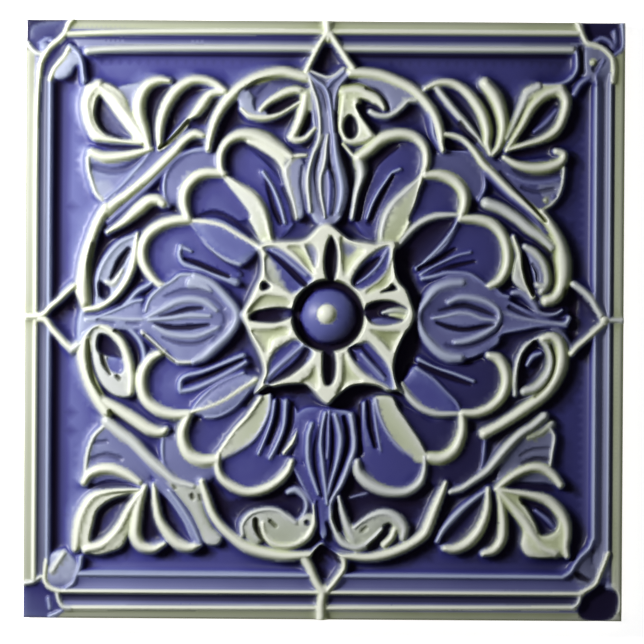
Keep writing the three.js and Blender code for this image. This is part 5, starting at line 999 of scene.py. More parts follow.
def leaf_top_left():
    patch("-44,42.8 -50,41.5 -56,40.6 -60,40.5 -60,37.5 -58.8,33.5 -57.3,31 -56,30 -54.5,29.5 -49,33.5 "
          "-43,39.5", 8.3, HAZE, tilt=(0, -0.03))
    groove("-58.8,38.6 -54,37.6 -50,38.4 -45.5,41.2", 0.9, 7.4, dark=0.3)
    patch("-52.5,58.8 -50,59.6 -46,60 -48.4,56 -48.6,52 -47.6,48.5 -49.5,52 -51,55.5", 8.3, SLATE)
    patch("-58.5,34.5 -56.5,34.8 -54,33.8 -52.5,32.2 -55,30 -57.5,31", 8.6, SLATE)
    patch("-42.5,43.3 -46,41 -50,37 -54,32.5 -57,30 -55.5,27.5 -50,31.8 -44,36.8 -38,42.5 -35.5,45.8",
          8.7, HAZE)
    ridge("-60.2,41 -60,38 -59.2,35 -57.8,31.5 -56.5,30.3", 0.5, 9.1, PALE)
    ridge("-44.5,42 -49.8,35.8 -52,33.5 -55.5,30.5", 0.45, 9.2, HAZE)
    patch("-44.5,43.3 -47,47.5 -49.5,51.5 -50.2,55 -52,57.8 -55,59.8 -58,60 -60.8,59.3 -61.6,56 "
          "-61.7,52.5 -60.8,48.8 -59.2,45.5 -54,44.7 -48.5,44.6", 9.0, CREAM, bulge=0.5)
    patch("-57.2,56.5 -58.3,53 -57.8,50 -55.8,47.2 -53,45.7 -49,45.8 -50.8,48.5 -53.5,52 -55.5,54.8",
          7.3, HAZE, dark=0.3, edge=0.5)
    groove("-57.2,55.5 -57.9,51.5 -56,48 -52,45.9", 0.6, 6.8, dark=0.85)
    ridge("-57.2,58.6 -54,56.3 -51,52.5 -48,48.5 -45.2,44.4", [1, 1.3, 1.3, 1, 0.5], LEAF, CREAM)
    ridge("-57.5,59.4 -60.2,56 -60.2,52 -59,48.3 -56.5,46 -52,45.1 -46.5,44.6",
          [1.1, 1.3, 1.3, 1.2, 0.8, 0.4, 0.35], LEAF, CREAM)
    patch("-42.8,43.5 -44.2,46 -45,50 -45.4,54 -44.3,57 -42,58.8 -40.3,60 -39.6,58.8 -41,56 -42,52 "
          "-42.2,48", 7.0, BLUE, dark=0.7, edge=0.4)
    ridge("-44.6,43.6 -46,48 -47.2,52 -47,56 -45,59.3 -42,60.6 -39.6,60.4",
          [0.5, 1.2, 1.4, 1.4, 1.2, 0.9, 0.5], LEAF, CREAM)
    patch("-39.4,48 -40.2,51 -38.5,54.5 -36,57.3 -33,59.3 -30,59.6 -27,57.8 -29.5,56.5 -32.5,54 -35,50.8 "
          "-38,48.2", 7.3, BLUE, dark=0.2, edge=0.5)
    groove("-39.3,49.5 -38.8,53 -36,56.6 -32.5,58.6", 0.8, 6.7, dark=0.85)
    ridge("-42,43.2 -42,48 -41.2,52 -39.5,55.7 -37,58.7 -33.8,60.6 -30.8,60.7 -28,59.8 -25.5,58",
          [0.5, 1, 1.2, 1.3, 1.2, 1, 0.9, 0.8, 0.7], LEAF, CREAM)
    ridge("-25.8,57.6 -29,57.2 -31,54.8 -33,52 -35.2,49.8 -38,46.8 -41,43.6",
          [0.5, 0.9, 1.2, 1, 0.6, 0.5, 0.35], 9.8, CREAM)
    groove("-34.7,50.3 -38.5,46 -42,43.3", [0.6, 0.7, 0.4], 7.1, dark=0.75)
    patch("-34.6,50.2 -31,51.3 -32.8,48.5 -34.4,48.3", 6.8, BLUE, dark=0.4)
    ridge("-44,43.2 -48,42 -52,41.2 -56,41 -59.3,42.2", [0.4, 0.9, 1.1, 1.2, 0.9], 9.8, CREAM)
    groove("-58,44.4 -54.5,43.7 -51,43.4 -46.3,43.6", [0.4, 0.6, 0.6, 0.25], 7.2, dark=0.8)


def leaf_top_right():
    patch("44,41 50,41 57,41.5 60.5,40 60.5,38 60,35 59,32 57.5,30 55.3,28.7 50,32.5 44.5,37.5",
          8.3, HAZE, tilt=(0, -0.03))
    groove("48,38.6 52,37 56,37 59.5,38", 0.7, 7.5, dark=0.55)
    patch("43,41 46,39.8 50,36 54,32.5 57.5,29.8 55.3,27.5 50,31.6 44,37.3 38,43.5 37,46", 8.6, HAZE)
    patch("54,34.8 57,35.3 59.8,35 59.5,32 57.5,29.8 55.5,31.5", 8.7, SLATE)
    ridge("46.5,37.3 51,35.4 55,35.2 59.3,36", 0.8, 8.9, HAZE)
    groove("50,34 53.5,33 58,33.7", 0.5, 7.8, dark=0.4)
    ridge("60.6,39 60.2,35 59.2,32 57.4,29.7 55.8,28.8", 0.45, 9.0, PALE)
    dome((58, 31.8), 0.8, 8.0, 9.0, HAZE)
    dome((56, 30.8), 0.8, 8.0, 9.0, PALE)
    patch("38.5,58 41,57.5 43.3,54.5 44,51 44,47 42.5,44 41,44 42.5,48 41.5,52 40,55.5",
          7.0, BLUE, dark=0.75, edge=0.4)
    ridge("42.5,42.3 44,44.5 45,49 44.5,53 43,57 40.5,60.3", [0.5, 0.9, 1.3, 1.5, 1.7, 1.3], LEAF, CREAM)
    patch("29,58.5 32,58.8 35,57 37.5,53.5 39,50 39.8,46.5 37.5,46.5 35,50 32.5,53 30.5,56",
          7.3, BLUE, dark=0.55, edge=0.5)
    ridge("25.3,58.9 28.5,60.3 32,60.3 35,58.8 38,55.5 40,52 41,48 41,45 41.8,42.5",
          [0.5, 0.7, 0.9, 1, 1.2, 1.3, 1.3, 0.9, 0.5], LEAF, CREAM)
    ridge("28,59.3 31,55.5 33.5,52.5 36,49.7 38.5,46.7 41,43.3",
          [0.8, 0.8, 0.8, 0.7, 0.5, 0.3], 9.6, PALE)
    groove("34.2,50 36,47.5 37.8,45.8", 0.8, 7.0, dark=0.85)
    groove("30.3,51.5 31,47.5", 0.6, 7, dark=0.7)
    patch("46.5,44 47,47 48.5,51 50,55 50,58.5 53,60.3 56,60 59,60 61.5,58.5 62.3,56.5 61.7,53 60.8,49.5 "
          "58.5,46.5 54.5,45",
          9.0, CREAM, bulge=0.5)
    patch("48,45.5 50,48.5 52.5,52.5 55.5,56 58.3,57 59.7,55.5 59,51.5 56.5,48.5 53,46.5",
          7.1, BLUE, dark=0.45, edge=0.5)
    groove("49.5,47 52.5,51.2 55.5,54.8 58,56.3", 0.7, 6.7, dark=0.9)
    ridge("53,48.2 56,50.6 58.6,53.8", [0.5, 0.8, 0.5], 8.6, HAZE)
    ridge("46,46.3 48,50.5 49.8,54.5 51.2,57.5 54,59.5", [0.4, 0.9, 1, 1.1, 1], 9.9, PALE)
    groove("48.4,49.3 50.5,53.2 52.5,56.5", [0.2, 0.4, 0.3], 8.0, dark=0.6)
    ridge("46,43.5 50,50 52.3,54.3 55.5,57.5 59.5,59", [0.5, 0.9, 1.1, 1.3, 1.2], LEAF, CREAM)
    ridge("59.7,58.8 61,56 60.3,52 58.5,48.5 55,46.2 51,44.9 45.8,43.2",
          [1.2, 1.2, 1.1, 0.9, 0.7, 0.5, 0.35], LEAF, CREAM)
    groove("47.5,42.8 51,43 55,43.8 59,44.8", [0.4, 0.6, 0.8, 0.6], 7.1, dark=0.85)
    ridge("45.3,41.6 49,39.7 53,38.9 57,39.3 60,40.8 60.5,42.5 58.5,43.3",
          [0.5, 0.9, 1.2, 1.3, 1, 0.8, 0.6], 9.8, CREAM)


def leaf_bottom_left():
    patch("-44,-42 -50,-41.5 -58,-42 -60.4,-41 -60.2,-37 -59.5,-33 -58,-29.5 -56,-27.5 -51,-31 -45,-36.5",
          8.2, HAZE, dark=0.1, tilt=(0, 0.02))
    patch("-56.5,-26 -52,-30 -47,-35 -42.5,-41 -39,-44.5 -36,-41 -40,-37.8 -45,-33.3 -50,-28.3 -54,-25",
          8.6, HAZE)
    groove("-58.7,-35.5 -55,-34.5 -51.5,-35.3", 0.6, 7.5, dark=0.45)
    groove("-58.5,-31.5 -55,-31", 0.5, 7.6, dark=0.45)
    ridge("-60.4,-41 -60.2,-37 -59.5,-33 -58,-29.5 -56,-27.5", 0.5, 9.0, PALE)
    patch("-58.3,-42.5 -56,-41.3 -53,-41 -49.5,-41.8 -47.3,-42.6 -51,-43 -55,-43.3", 7.1, BLUE, dark=0.75)
    ridge("-60.6,-41.4 -59.5,-39.6 -57,-38.3 -53.5,-38.1 -50,-39.3 -46.5,-41.4",
          [0.8, 0.9, 1.2, 1.2, 1, 0.6], 9.8, CREAM)
    patch("-46.5,-43.8 -52,-43.8 -58,-44 -60.5,-45.5 -62,-49 -63,-53 -63.6,-57 -63.4,-58.7 -61.5,-58.2 "
          "-59.5,-59.5 -57,-60 -54,-59.3 -51,-58 -49.5,-55 -48.5,-50", 8.9, CREAM, bulge=0.5)
    patch("-47.5,-44.6 -53,-45.6 -57,-48.5 -58,-51.5 -58.7,-56.5 -55,-55 -51.8,-51 -50,-48",
          7.1, BLUE, dark=0.5, edge=0.5)
    groove("-49,-45.8 -53.5,-47 -56.5,-49.8 -57.5,-54.5", 0.7, 6.7, dark=0.9)
    ridge("-45,-42.7 -47,-45 -49,-48 -51,-52 -53,-55 -56,-57.4 -60,-58.5",
          [0.5, 0.8, 0.9, 1, 1.2, 1.2, 0.9], LEAF, CREAM)
    ridge("-46.8,-43.2 -50,-43.3 -54.5,-43.8 -58,-45 -60,-47.5 -61.5,-51 -62.2,-55 -62.6,-58.3",
          [0.3, 0.4, 0.6, 0.9, 1.1, 1.3, 1.2, 0.8], LEAF, CREAM)
    patch("-44.3,-42.7 -45.3,-47 -46,-51 -46.3,-55.8 -44,-55.5 -41.5,-56 -42.5,-51 -43,-46",
          7.1, BLUE, dark=0.8, edge=0.4)
    ridge("-45.2,-42.5 -46.7,-47 -47.3,-51 -47.5,-55 -46,-57.5 -43,-58.3 -40.3,-57",
          [0.6, 1.1, 1.2, 1.4, 1.2, 0.9, 0.5], LEAF, CREAM)
    patch("-41,-44.5 -40.8,-48.5 -39,-52.5 -36.5,-55.8 -33.8,-56.7 -33,-54 -35,-50 -38,-46",
          7.4, BLUE, dark=0.3, edge=0.5)
    groove("-40.3,-46 -39.8,-50 -37.5,-53.8", 0.7, 6.8, dark=0.9)
    ridge("-42.8,-42 -42.3,-47 -41.3,-51 -39,-54.5 -36.5,-57 -33.5,-57.9 -31.5,-57",
          [0.5, 0.9, 1, 1.2, 1.3, 1, 0.7], LEAF, CREAM)
    patch("-41,-36.5 -38,-39.5 -34.5,-41.5 -31.3,-41.5 -31,-44 -30.2,-48 -28,-52.5 -25.5,-55.5 "
          "-26.5,-57.2 -29.5,-57 -31.5,-53 -33.5,-49 -36.5,-45 -39.5,-41",
          8.8, PALE, dark=0.05, bulge=0.4)
    patch("-43,-41 -40,-42 -36.5,-45.5 -33.5,-49.5 -31.5,-53.5 -30.5,-57 -33,-56.3 -35.5,-51.5 -38.5,-47 "
          "-42,-43", 8.9, HAZE)
    ridge("-39,-43.5 -36,-47.5 -33,-52.5 -31.3,-56.3", 0.5, 9.4, HAZE)
    groove("-33.2,-44.5 -33,-45.3", 0.5, 7.9, dark=0.7)
    groove("-37.9,-42 -37.5,-42.8", 0.45, 7.9, dark=0.7)
    groove("-31.1,-44.6 -30.8,-45.6", 0.5, 7.6, dark=0.6)


def leaf_bottom_right():
    patch("44,-42 50,-41.5 58,-41.5 60.3,-40 57.5,-37 58,-33 58.5,-29 57.8,-25.5 55,-26 51,-29 45.5,-35",
          8.2, SLATE, dark=0.1, tilt=(0, 0.02))
    ridge("57.8,-26 55,-28.2 52,-29.5", [1, 1.1, 0.7], 8.9, PALE)
    groove("50,-34 53,-32.5 57.3,-32", 0.4, 7.6, dark=0.5)
    groove("50.5,-36 54,-34.7 57.7,-35", 0.45, 7.4, dark=0.8)
    ridge("57.5,-27 58.6,-29 58.1,-33 57.6,-36.5", 0.4, 8.9, PALE)
    patch("46,-42.5 49,-41 53,-41 58,-41.5 59,-43 54,-43.2 49,-42.9", 7.1, BLUE, dark=0.75)
    ridge("43.8,-42.5 46.5,-40.3 49.5,-38.3 53,-37 56,-37.3 58.5,-39 60.3,-41.3",
          [0.5, 0.9, 1, 1.1, 1.1, 1, 0.8], 9.8, CREAM)
    patch("45,-43 51,-44 57,-45.3 60,-48 61.5,-51 61.8,-54 62,-59 58,-60 52,-59.5 50.3,-57 50.5,-53 "
          "48,-48", 8.9, CREAM, bulge=0.5)
    patch("50,-44.8 52.5,-45.2 56,-46.3 58.5,-48.5 59.5,-51 58.5,-53.3 55.5,-54 54,-51 52,-47.5",
          7.2, BLUE, dark=0.5, edge=0.5)
    groove("51,-45.8 55,-47.2 57.8,-49.5", 0.6, 6.8, dark=0.85)
    ridge("54,-48 57,-50.3 59,-52.6", [0.5, 0.7, 0.5], 8.5, HAZE)
    ridge("44.3,-42.6 49,-43.3 53,-44 57,-45.3 60,-48 61.5,-51 61.8,-54 61.5,-57 62,-59.3",
          [0.5, 0.6, 0.8, 1.1, 1.3, 1.3, 1.2, 1, 0.6], LEAF, CREAM)
    ridge("44.6,-43 46.5,-45 49,-48 51.5,-51 53.5,-54.5 55.5,-57 59,-58.5",
          [0.6, 1.1, 1.3, 1.4, 1.4, 1.4, 1.2], LEAF, CREAM)
    patch("42.5,-43 44.3,-46 45,-50 45,-54 43.5,-57 41,-57 40.5,-55 42,-51 42.5,-46",
          7.1, BLUE, dark=0.8, edge=0.4)
    ridge("44.4,-43.3 45.4,-48 45.7,-52 45.3,-55.5 43.5,-58 40.8,-58.9",
          [0.5, 1, 1.1, 1.2, 1.1, 0.6], 9.8, CREAM)
    patch("40,-45.5 40.5,-48 39.5,-51 37.5,-54.5 35,-56 32,-56.2 31,-54.5 33.5,-50.5 37,-47.2",
          7.4, BLUE, dark=0.55, edge=0.5)
    ridge("41.8,-42.5 41.7,-47 40.8,-50.5 39,-54 36.5,-56.5 33.5,-57.8 31,-57.6",
          [0.5, 0.9, 1.1, 1.3, 1.3, 1.1, 0.6], 9.9, CREAM)
    ridge("41,-43 36,-47 33,-50 30.5,-53 29,-55.8", [0.4, 0.6, 0.8, 0.6, 0.4], 9.3, SLATE)


STAR_OUTLINE = (
    "1,24.4 2.3,23.9 3.6,22.9 5,21.7 6.6,20.6 8.6,20.2 11,19.9 13.5,19.5 15.5,19.9 17.6,20.1 18.3,19.1 "
    "17.9,17.4 17.8,15 18.2,12.2 19.3,9.8 20.9,8 22.1,5 22.9,2.3 22.7,0 22,-1.7 20.5,-3.6 19.3,-6 "
    "18.3,-9 17.9,-12 18.2,-14.5 18.9,-16.5 20,-18.3 18.5,-17.8 16.3,-17.9 14.5,-17 12.5,-16.5 9.5,-16.3 "
    "7,-16.8 5,-18 3,-19.8 1.3,-21.4 0,-20.9 -1.5,-19.3 -3,-17.6 -4.5,-16.5 -7,-16.3 -10,-16.6 -12.5,-17 "
    "-14,-16.8 -15.5,-17.6 -17.6,-18.7 -16.5,-16.7 -15.7,-14.7 -15.3,-13 -15.8,-10.5 -17,-7.5 -18.5,-4.5 "
    "-19.6,-2 -20.6,0 -20.9,1.4 -20.2,3 -19,5.2 -17.5,8.5 -16.3,11 -16,13 -16,15 -16.4,17 -17.2,17.9 "
    "-16.7,18.9 -15,19.5 -12,20 -9,20.1 -6,20.3 -4.5,20.9 -3,22.3 -1.5,23.8 0,24.4"
)

# Sunk facets of the star: outline, height, glaze and darkening
STAR_FACETS = [
    ("-4.5,18.9 -3.2,19 -2.1,17.6 -1.9,15.5 -2.5,13.5 -3.4,15.3 -4.2,17.2", 10.0, SLATE, 0.1),
    ("-9,18.4 -6,18.3 -4.8,16.6 -3.7,14.6 -2.9,12 -4.2,13.3 -6,15.6 -7.6,17.2", 9.9, CREAM, 0.1),
    ("-15.1,15.5 -14.7,12 -13.8,9.9 -11.2,8.6 -9.3,7.6 -10.3,9.5 -11.4,11.6 -13,14.5 -14.2,16.2",
     10.1, PALE, 0.0),
    ("-19.1,1.8 -17.2,4.5 -15.3,6 -12,5.9 -9,5.2 -8.3,4.2 -9,3 -13,3 -16,2.6 -18,1.5", 10.0, CREAM, 0.15),
    ("-18.2,-2.9 -16,-2.7 -13,-2.5 -10,-1.9 -8.9,-2.3 -9.3,-3.5 -11.6,-4.1 -13.3,-5.2 -14,-7.6 "
     "-14.7,-8.1 -15.4,-7 -16.8,-5", 10.0, CREAM, 0.15),
    ("-2.2,-12 -1.6,-14.5 -1.9,-17.2 -3.4,-16.6 -5.5,-15.6 -3.6,-14.2", 10.1, CREAM, 0.2),
    ("5.2,-8.6 6,-11 7.2,-13 9.5,-15.2 6.3,-15.8 4.2,-18.3 3.4,-18.6 4.8,-15.5 5.1,-12",
     10.0, CREAM, 0.15),
    ("12,-2.6 14,-2.8 16.5,-2.9 19.5,-3.1 18.9,-4.8 17.9,-6.4 17.2,-7.6 15.5,-5.8 14,-4.2",
     9.9, CREAM, 0.2),
    ("4.3,21 6,19.9 8,18.9 10,17.8 8,15.6 6.5,13.5 5.3,11.8 4.7,14.5 4.5,17", 10.0, CREAM, 0.05),
    ("4.6,19.8 6,19.4 7.9,18.4 7.2,17 5.8,16.4 4.8,17.2", 9.8, SLATE, 0.15),
    ("10.8,7 13,8 15,8.6 16.6,10.2 17.3,12.6 17.1,15.6 16.3,14 15.3,11.9 13.6,9.8 11.6,8.3",
     10.0, CREAM, 0.25),
]

# The leaves on the diagonals: the outline, a dark hollow and a light fold in each
STAR_BLADES = [
    ("-15.3,18.2 -13,18.5 -11,17.8 -9,16.4 -6.5,14.4 -4.5,12.5 -2.9,10.6 -3.6,9.4 -4.8,8.6 -6.5,7.4 "
     "-8,6.7 -9.6,7.8 -10.6,9.5 -11.3,11 -12.4,13 -13.6,15.3 -14.6,17",
     "-14.4,17.3 -12,15.6 -9,13 -7,11 -4.9,9", [0.2, 0.6, 0.8, 0.9, 0.7],
     "-13.3,17.6 -10.6,16.2 -7.6,13.8 -4.6,11.4", [0.3, 0.6, 0.6, 0.4]),
    ("16.2,18.9 14.5,18.4 12.5,17.2 10.5,15.5 8.8,13.5 7.6,11.5 7,9.9 7.5,8.5 9,7.8 10.8,8.4 12.8,9.6 "
     "14.6,11.2 15.9,13 16.5,15.5 16.6,17.5",
     "8,9.7 9.3,11.6 11.5,13.7 13.8,15.8", [0.9, 1.3, 1.2, 0.5],
     "8.3,9.4 10.6,11 12.6,12.8 14.3,15 15.7,17.5 16.6,19.2", [0.2, 0.4, 0.4, 0.4, 0.3]),
    ("-14.2,-14 -14,-11.5 -13.3,-9.5 -12,-7.6 -10,-6.1 -7.5,-4.9 -6.2,-5.3 -5.2,-6.1 -4,-6.7 -3,-7.5 "
     "-2.9,-8.8 -4.3,-10.7 -6.5,-12.5 -9,-14.2 -12,-15.6 -14.3,-16.4 -15.1,-15.8",
     "-4.4,-7.8 -6,-10.6 -9.3,-13.4 -13.6,-15.9", [0.9, 1.2, 1.1, 0.4],
     "-14.4,-14.8 -12,-12.2 -8.6,-9.2 -5.4,-6.4", [0.4, 0.6, 0.6, 0.5]),
    ("6.2,-6.9 7.8,-6.2 9.5,-5.8 11,-5.3 12.4,-6.4 14,-8.4 15.8,-10.7 17.1,-13.3 17.7,-16 17.6,-17.6 "
     "15.5,-16.4 13,-15 10.5,-13.4 8.5,-11.3 7,-9",
     "9.8,-7 12,-9.6 14,-12 15.9,-14.2", [0.4, 0.35, 0.35, 0.2],
     "9.6,-8.6 11.5,-10.8 13.6,-13 15.3,-14.8", [0.4, 0.7, 0.7, 0.4]),
]

# The dark openings on the axes and the small pits
STAR_SLOTS = [
    "1.7,21.2 0.9,19.9 0.3,17.5 0,14.5 0.3,12 1,10.2 2.3,10.2 2.9,12 3.2,14.5 3.2,17.5 2.6,19.9",
    "0,-7.7 -0.2,-10 -0.2,-12 0,-14.5 0.7,-16.4 1.8,-16.3 2.7,-14.5 3,-12 2.9,-9.7 2.3,-7.7",
    ("-18.8,0.8 -17.5,2 -15,2.7 -12,3.1 -9.5,3 -7.8,2.5 -8,1.1 -9.5,0.2 -12,-0.6 -14.5,-0.6 -17,-0.4 "
     "-18.5,0"),
    ("10,2.3 10.9,3.8 12.5,4.6 15,5 17.5,4.8 19.5,4 21,3 20.8,1.6 19.8,0 17,-0.9 14.5,-1.1 12.4,-0.7 "
     "11.2,0.4 10.2,1.5"),
    "-15.9,9.3 -15,9.6 -13.7,8.5 -14.6,7.7 -15.7,7.6",
    "14.5,7.2 16.4,8.3 17.2,9.2 18.4,8 16.5,7.5",
]


def star():
    patch(STAR_OUTLINE, 11.1, CREAM, edge=0.55)
    for outline, height, glaze, dark in STAR_FACETS:
        patch(outline, height, glaze, dark=dark, edge=0.6)
    for outline, hollow, hollow_halves, fold, fold_halves in STAR_BLADES:
        patch(outline, 10.0, BLUE, edge=0.5)
        # The hollow of each blade is painted dark: painted shadow
        groove(hollow, hollow_halves, 8.8, dark=0.95)
        ridge(fold, fold_halves, 10.6, HAZE)
    for outline in STAR_SLOTS:
        patch(outline, 8.4, BLUE, dark=0.97, edge=0.35)
    groove("6.6,-7 8,-6.8 9.6,-6.6", [0.3, 0.7, 0.5], 9.0, dark=0.97)
    groove("6.9,-7.6 7.6,-8.8 8.3,-10", [0.4, 0.6, 0.3], 9.0, dark=0.9)
    patch("-10.6,0.5 -8.4,1.2 -8.3,2.4 -10,2.2", 8.6, BLUE, dark=0.4, edge=0.3)
    patch("11.8,0.2 14,0.8 17,0.4 19.4,-0.2 17,-0.9 14.3,-1.1 12.6,-0.7", 9.8, HAZE, edge=0.3)
    ridge("14.8,2 17,2.5 19,2.6 20.8,2.2", [0.3, 0.7, 0.8, 0.5], 10.4, PALE)
    ridge("16.5,1.4 18.5,1.3 20.6,0.9", [0.2, 0.5, 0.5], 10.2, CREAM)


def boss():
    radius, height = MOAT_BED
    dome(BOSS_CENTRE, radius, height, height, BLUE)
    angle = np.linspace(0, 2 * math.pi, MOAT_SAMPLES, endpoint=False)
    x, y = BOSS_CENTRE
    circle = np.stack([x + MOAT_RADIUS * np.cos(angle), y + MOAT_RADIUS * np.sin(angle)], axis=1)
    place, share, _ = nearest(circle, np.ones(len(circle)), MOAT_REACH)
    cut = np.clip(MOAT_EDGE - share, 0, 1) ** 0.5
    level[place] = level[place] - np.maximum(level[place] - MOAT_FLOOR, 0) * np.minimum(cut * MOAT_GAIN, 1)
    # Painted shade in the moat round the boss
    paint(shade_and_pool, place, MOAT_SHADE, fade(share, *MOAT_GLAZE))
    dome(BOSS_CENTRE, BOSS_RADIUS, BOSS_FOOT, BOSS_CROWN, BLUE)
    dome(BEAD_CENTRE, BEAD_RADIUS, BEAD_FOOT, BEAD_CROWN, CREAM, power=BEAD_POWER)


def draw_relief():
    """Every form of the face, each laid over the ones before it."""
    frame_sides()
    corner_top_left()
    corner_top_right()
    corner_bottom_left()
    corner_bottom_right()
    leaf_top_left()
    leaf_top_right()
    leaf_bottom_left()
    leaf_bottom_right()
    ring_ground()
    ring()
    ring_stems()
    diamonds()
    arch_scrolls_top()
    arch_scrolls_bottom()
    side_scrolls_left()
    side_scrolls_right()
    petals_top()
    petals_side_top()
    petals_side_bottom()
    petals_bottom()
    bud_top()
    bud_bottom()
    bud_left()
    bud_right()
    star()
    boss()


def blurred(values, reach):
    """A Gaussian blur of the grid over so many millimetres, with the border repeated."""
    margin = int(4 * reach / STEP) + 1
    padded = np.pad(values, margin, mode="edge")
    up = np.fft.fftfreq(len(padded))[:, None]
    across = np.fft.rfftfreq(len(padded))[None, :]
    gain = np.exp(-2 * (math.pi * reach / STEP) ** 2 * (across ** 2 + up ** 2))
    return np.fft.irfft2(np.fft.rfft2(padded) * gain, s=padded.shape)[margin:-margin, margin:-margin]


draw_relief()

# The glaze fills the feet of the forms, softens the crests and rounds the tile's edges
level += FILL_SHARE * np.maximum(blurred(level, FILL_REACH) - level, 0)
level = blurred(level, SOFT_REACH)
border = TILE / 2 - np.maximum(np.abs(AXIS)[None, :], np.abs(AXIS)[:, None])
level -= EDGE_RADIUS - np.sqrt(EDGE_RADIUS ** 2 - np.clip(EDGE_RADIUS - border, 0, EDGE_RADIUS) ** 2)
sheets = blurred(np.where(cream < SHEET_CREAM, cream, 0), COLOUR_SOFT_REACH)
cream = blurred(cream, COLOUR_SOFT_REACH)


def standing(across, up, slope):
    """How far the relief on one side of each point stands above a line that climbs from the point."""
    most = np.zeros(level.shape)
    for reach in np.arange(CAST_START, CAST_REACH, CAST_STEP):
        there = np.roll(level, (-round(reach * up / STEP), -round(reach * across / STEP)), axis=(0, 1))
        most = np.maximum(most, there - level - reach * slope)
    return blurred(most, CAST_SOFT)


# Painted shadow below and to the right of the forms, away from the light, and painted light on the other
# side
painted_shadow = smooth_step(standing(*LIGHT_WAY, CAST_SLOPE) / CAST_FULL)
farthest = np.maximum(np.maximum(np.abs(AXIS)[None, :], AXIS[:, None]), BORDER_LOW - AXIS[:, None])
moulding = farthest > BORDER_START
painted_shadow = np.where(moulding, BORDER_SHADOW * painted_shadow, painted_shadow)
# A wider, softer painted shade below and to the right of the forms
wide_shade = smooth_step(standing(*LIGHT_WAY, WIDE_SHADE_SLOPE) / WIDE_SHADE_FULL)
wide_shade = np.where(moulding, BORDER_WIDE_SHADE * wide_shade, wide_shade)
lit_glow = smooth_step(standing(-LIGHT_WAY[0], -LIGHT_WAY[1], CAST_SLOPE) / CAST_FULL)
# On the side towards the light the cream spreads onto the ground: painted light
cream = np.maximum(cream, blurred(cream, LIT_SPREAD_REACH) * lit_glow)
# The painted shadow darkens the glaze, less on the cream
shade_and_pool = np.maximum(blurred(shade_and_pool, COLOUR_SOFT_REACH), SHADOW_DARK * painted_shadow * (1 - CREAM_CLEARS * cream))

# How thin the glaze runs at each point, from how far it stands above its close and its wide surroundings
close = level - blurred(level, CLOSE_REACH)
wide = level - blurred(level, WIDE_REACH)
# Hollows darken most where the painted shadow falls: painted shade
hollow = np.minimum(close, 0) * (HOLLOW_LEAST + (1 - HOLLOW_LEAST) * painted_shadow)
crest = FLAT_CREST + RISE_GAIN * np.maximum(close, 0) + HOLLOW_GAIN * hollow + WIDE_GAIN * wide
# The side of the forms towards the light is paler: painted light
crest = np.clip(crest + LIT_GLOW_GAIN * lit_glow, 0, 1)
# Painted falloff of light and sheen across the tile: the glaze paler to the left and darker to the right,
# less so on the cream and on the border
side = SIDE_LIGHT_FALLOFF * (1 - CREAM_STEADIES * cream) * np.where(moulding, BORDER_LIGHT_FALLOFF, 1)
drift = side * AXIS[None, :] / TILE
crest += SHEET_GAIN * sheets
# The wider painted shade and the painted falloff of light darken the blue
crest = np.maximum(crest - WIDE_SHADE_GAIN * wide_shade * (1 - cream) - drift, 0)
button = np.hypot(AXIS[None, :] - BOSS_CENTRE[0], AXIS[:, None] - BOSS_CENTRE[1])
on_boss = (button < BOSS_RADIUS) & (button > DOME_START)
crest = np.where(on_boss, np.minimum(crest, DOME_CREST), crest)
slope_y, slope_x = np.gradient(level, STEP)
# Flanks that face away from the light: painted shade, olive on the cream and darker on the boss
shaded_flank = np.clip(LEE_GAIN * (LEE_WAY[0] * slope_x + LEE_WAY[1] * slope_y) - LEE_START, 0, 1)
shade_and_pool = np.maximum(shade_and_pool, np.where(on_boss, DOME_SHADE * shaded_flank, 0))


# Mesh

def at_points(values, x, y):
    """The grid's value at points between its nodes."""
    across = np.clip((x + TILE / 2) / STEP, 0, COUNT - 1.001)
    up = np.clip((y + TILE / 2) / STEP, 0, COUNT - 1.001)
    i = across.astype(int)
    j = up.astype(int)
    s = across - i
    t = up - j
    low = values[j, i] * (1 - s) + values[j, i + 1] * s
    high = values[j + 1, i] * (1 - s) + values[j + 1, i + 1] * s
    return low * (1 - t) + high * t


def halved(a, b, c):
    """The halves of right-angled triangles, cut from the right angle c to the middle of the long side."""
    middle = (a + b) // 2
    return np.concatenate([c, b]), np.concatenate([a, c]), np.concatenate([middle, middle])


def node_number(points):
    return points[:, 1] * COUNT + points[:, 0]


def face_triangles(signals):
    """Triangles that halve where the relief, its normals or its glaze would otherwise be missed."""
    last = COUNT - 1
    first = np.array([[0, 0], [last, last]])
    second = np.array([[last, last], [0, 0]])
    square = np.array([[last, 0], [0, last]])
    levels = [(first, second, square)]
    for _ in range(2 * SPLITS - 1):
        levels.append(halved(*levels[-1]))
    misses = np.zeros(COUNT * COUNT)
    for depth in range(2 * SPLITS - 1, -1, -1):
        a, b, c = levels[depth]
        at_a, at_b, at_middle = node_number(a), node_number(b), node_number((a + b) // 2)
        miss = np.zeros(len(a))
        for values in signals:
            miss = np.maximum(miss, np.abs(values[at_middle] - (values[at_a] + values[at_b]) / 2))
        if depth < 2 * SPLITS - 1:
            miss = np.maximum(miss, misses[node_number((a + c) // 2)])
            miss = np.maximum(miss, misses[node_number((b + c) // 2)])
        np.maximum.at(misses, at_middle, miss)

    def split(limit):
        kept = []
        a, b, c = levels[0]
        for _ in range(2 * SPLITS):
            cut = misses[node_number((a + b) // 2)] > limit
            kept.append((a[~cut], b[~cut], c[~cut]))
            a, b, c = halved(a[cut], b[cut], c[cut])
        kept.append((a, b, c))
        return kept

    low, high = 0.0, misses.max()
    for _ in range(SEARCH_STEPS):
        limit = (low + high) / 2
        if sum(len(a) for a, _, _ in split(limit)) > FACE_TRIANGLES:
            low = limit
        else:
            high = limit
    faces = [np.stack([node_number(a), node_number(c), node_number(b)], axis=1) for a, b, c in split(high)]
    return np.concatenate(faces)


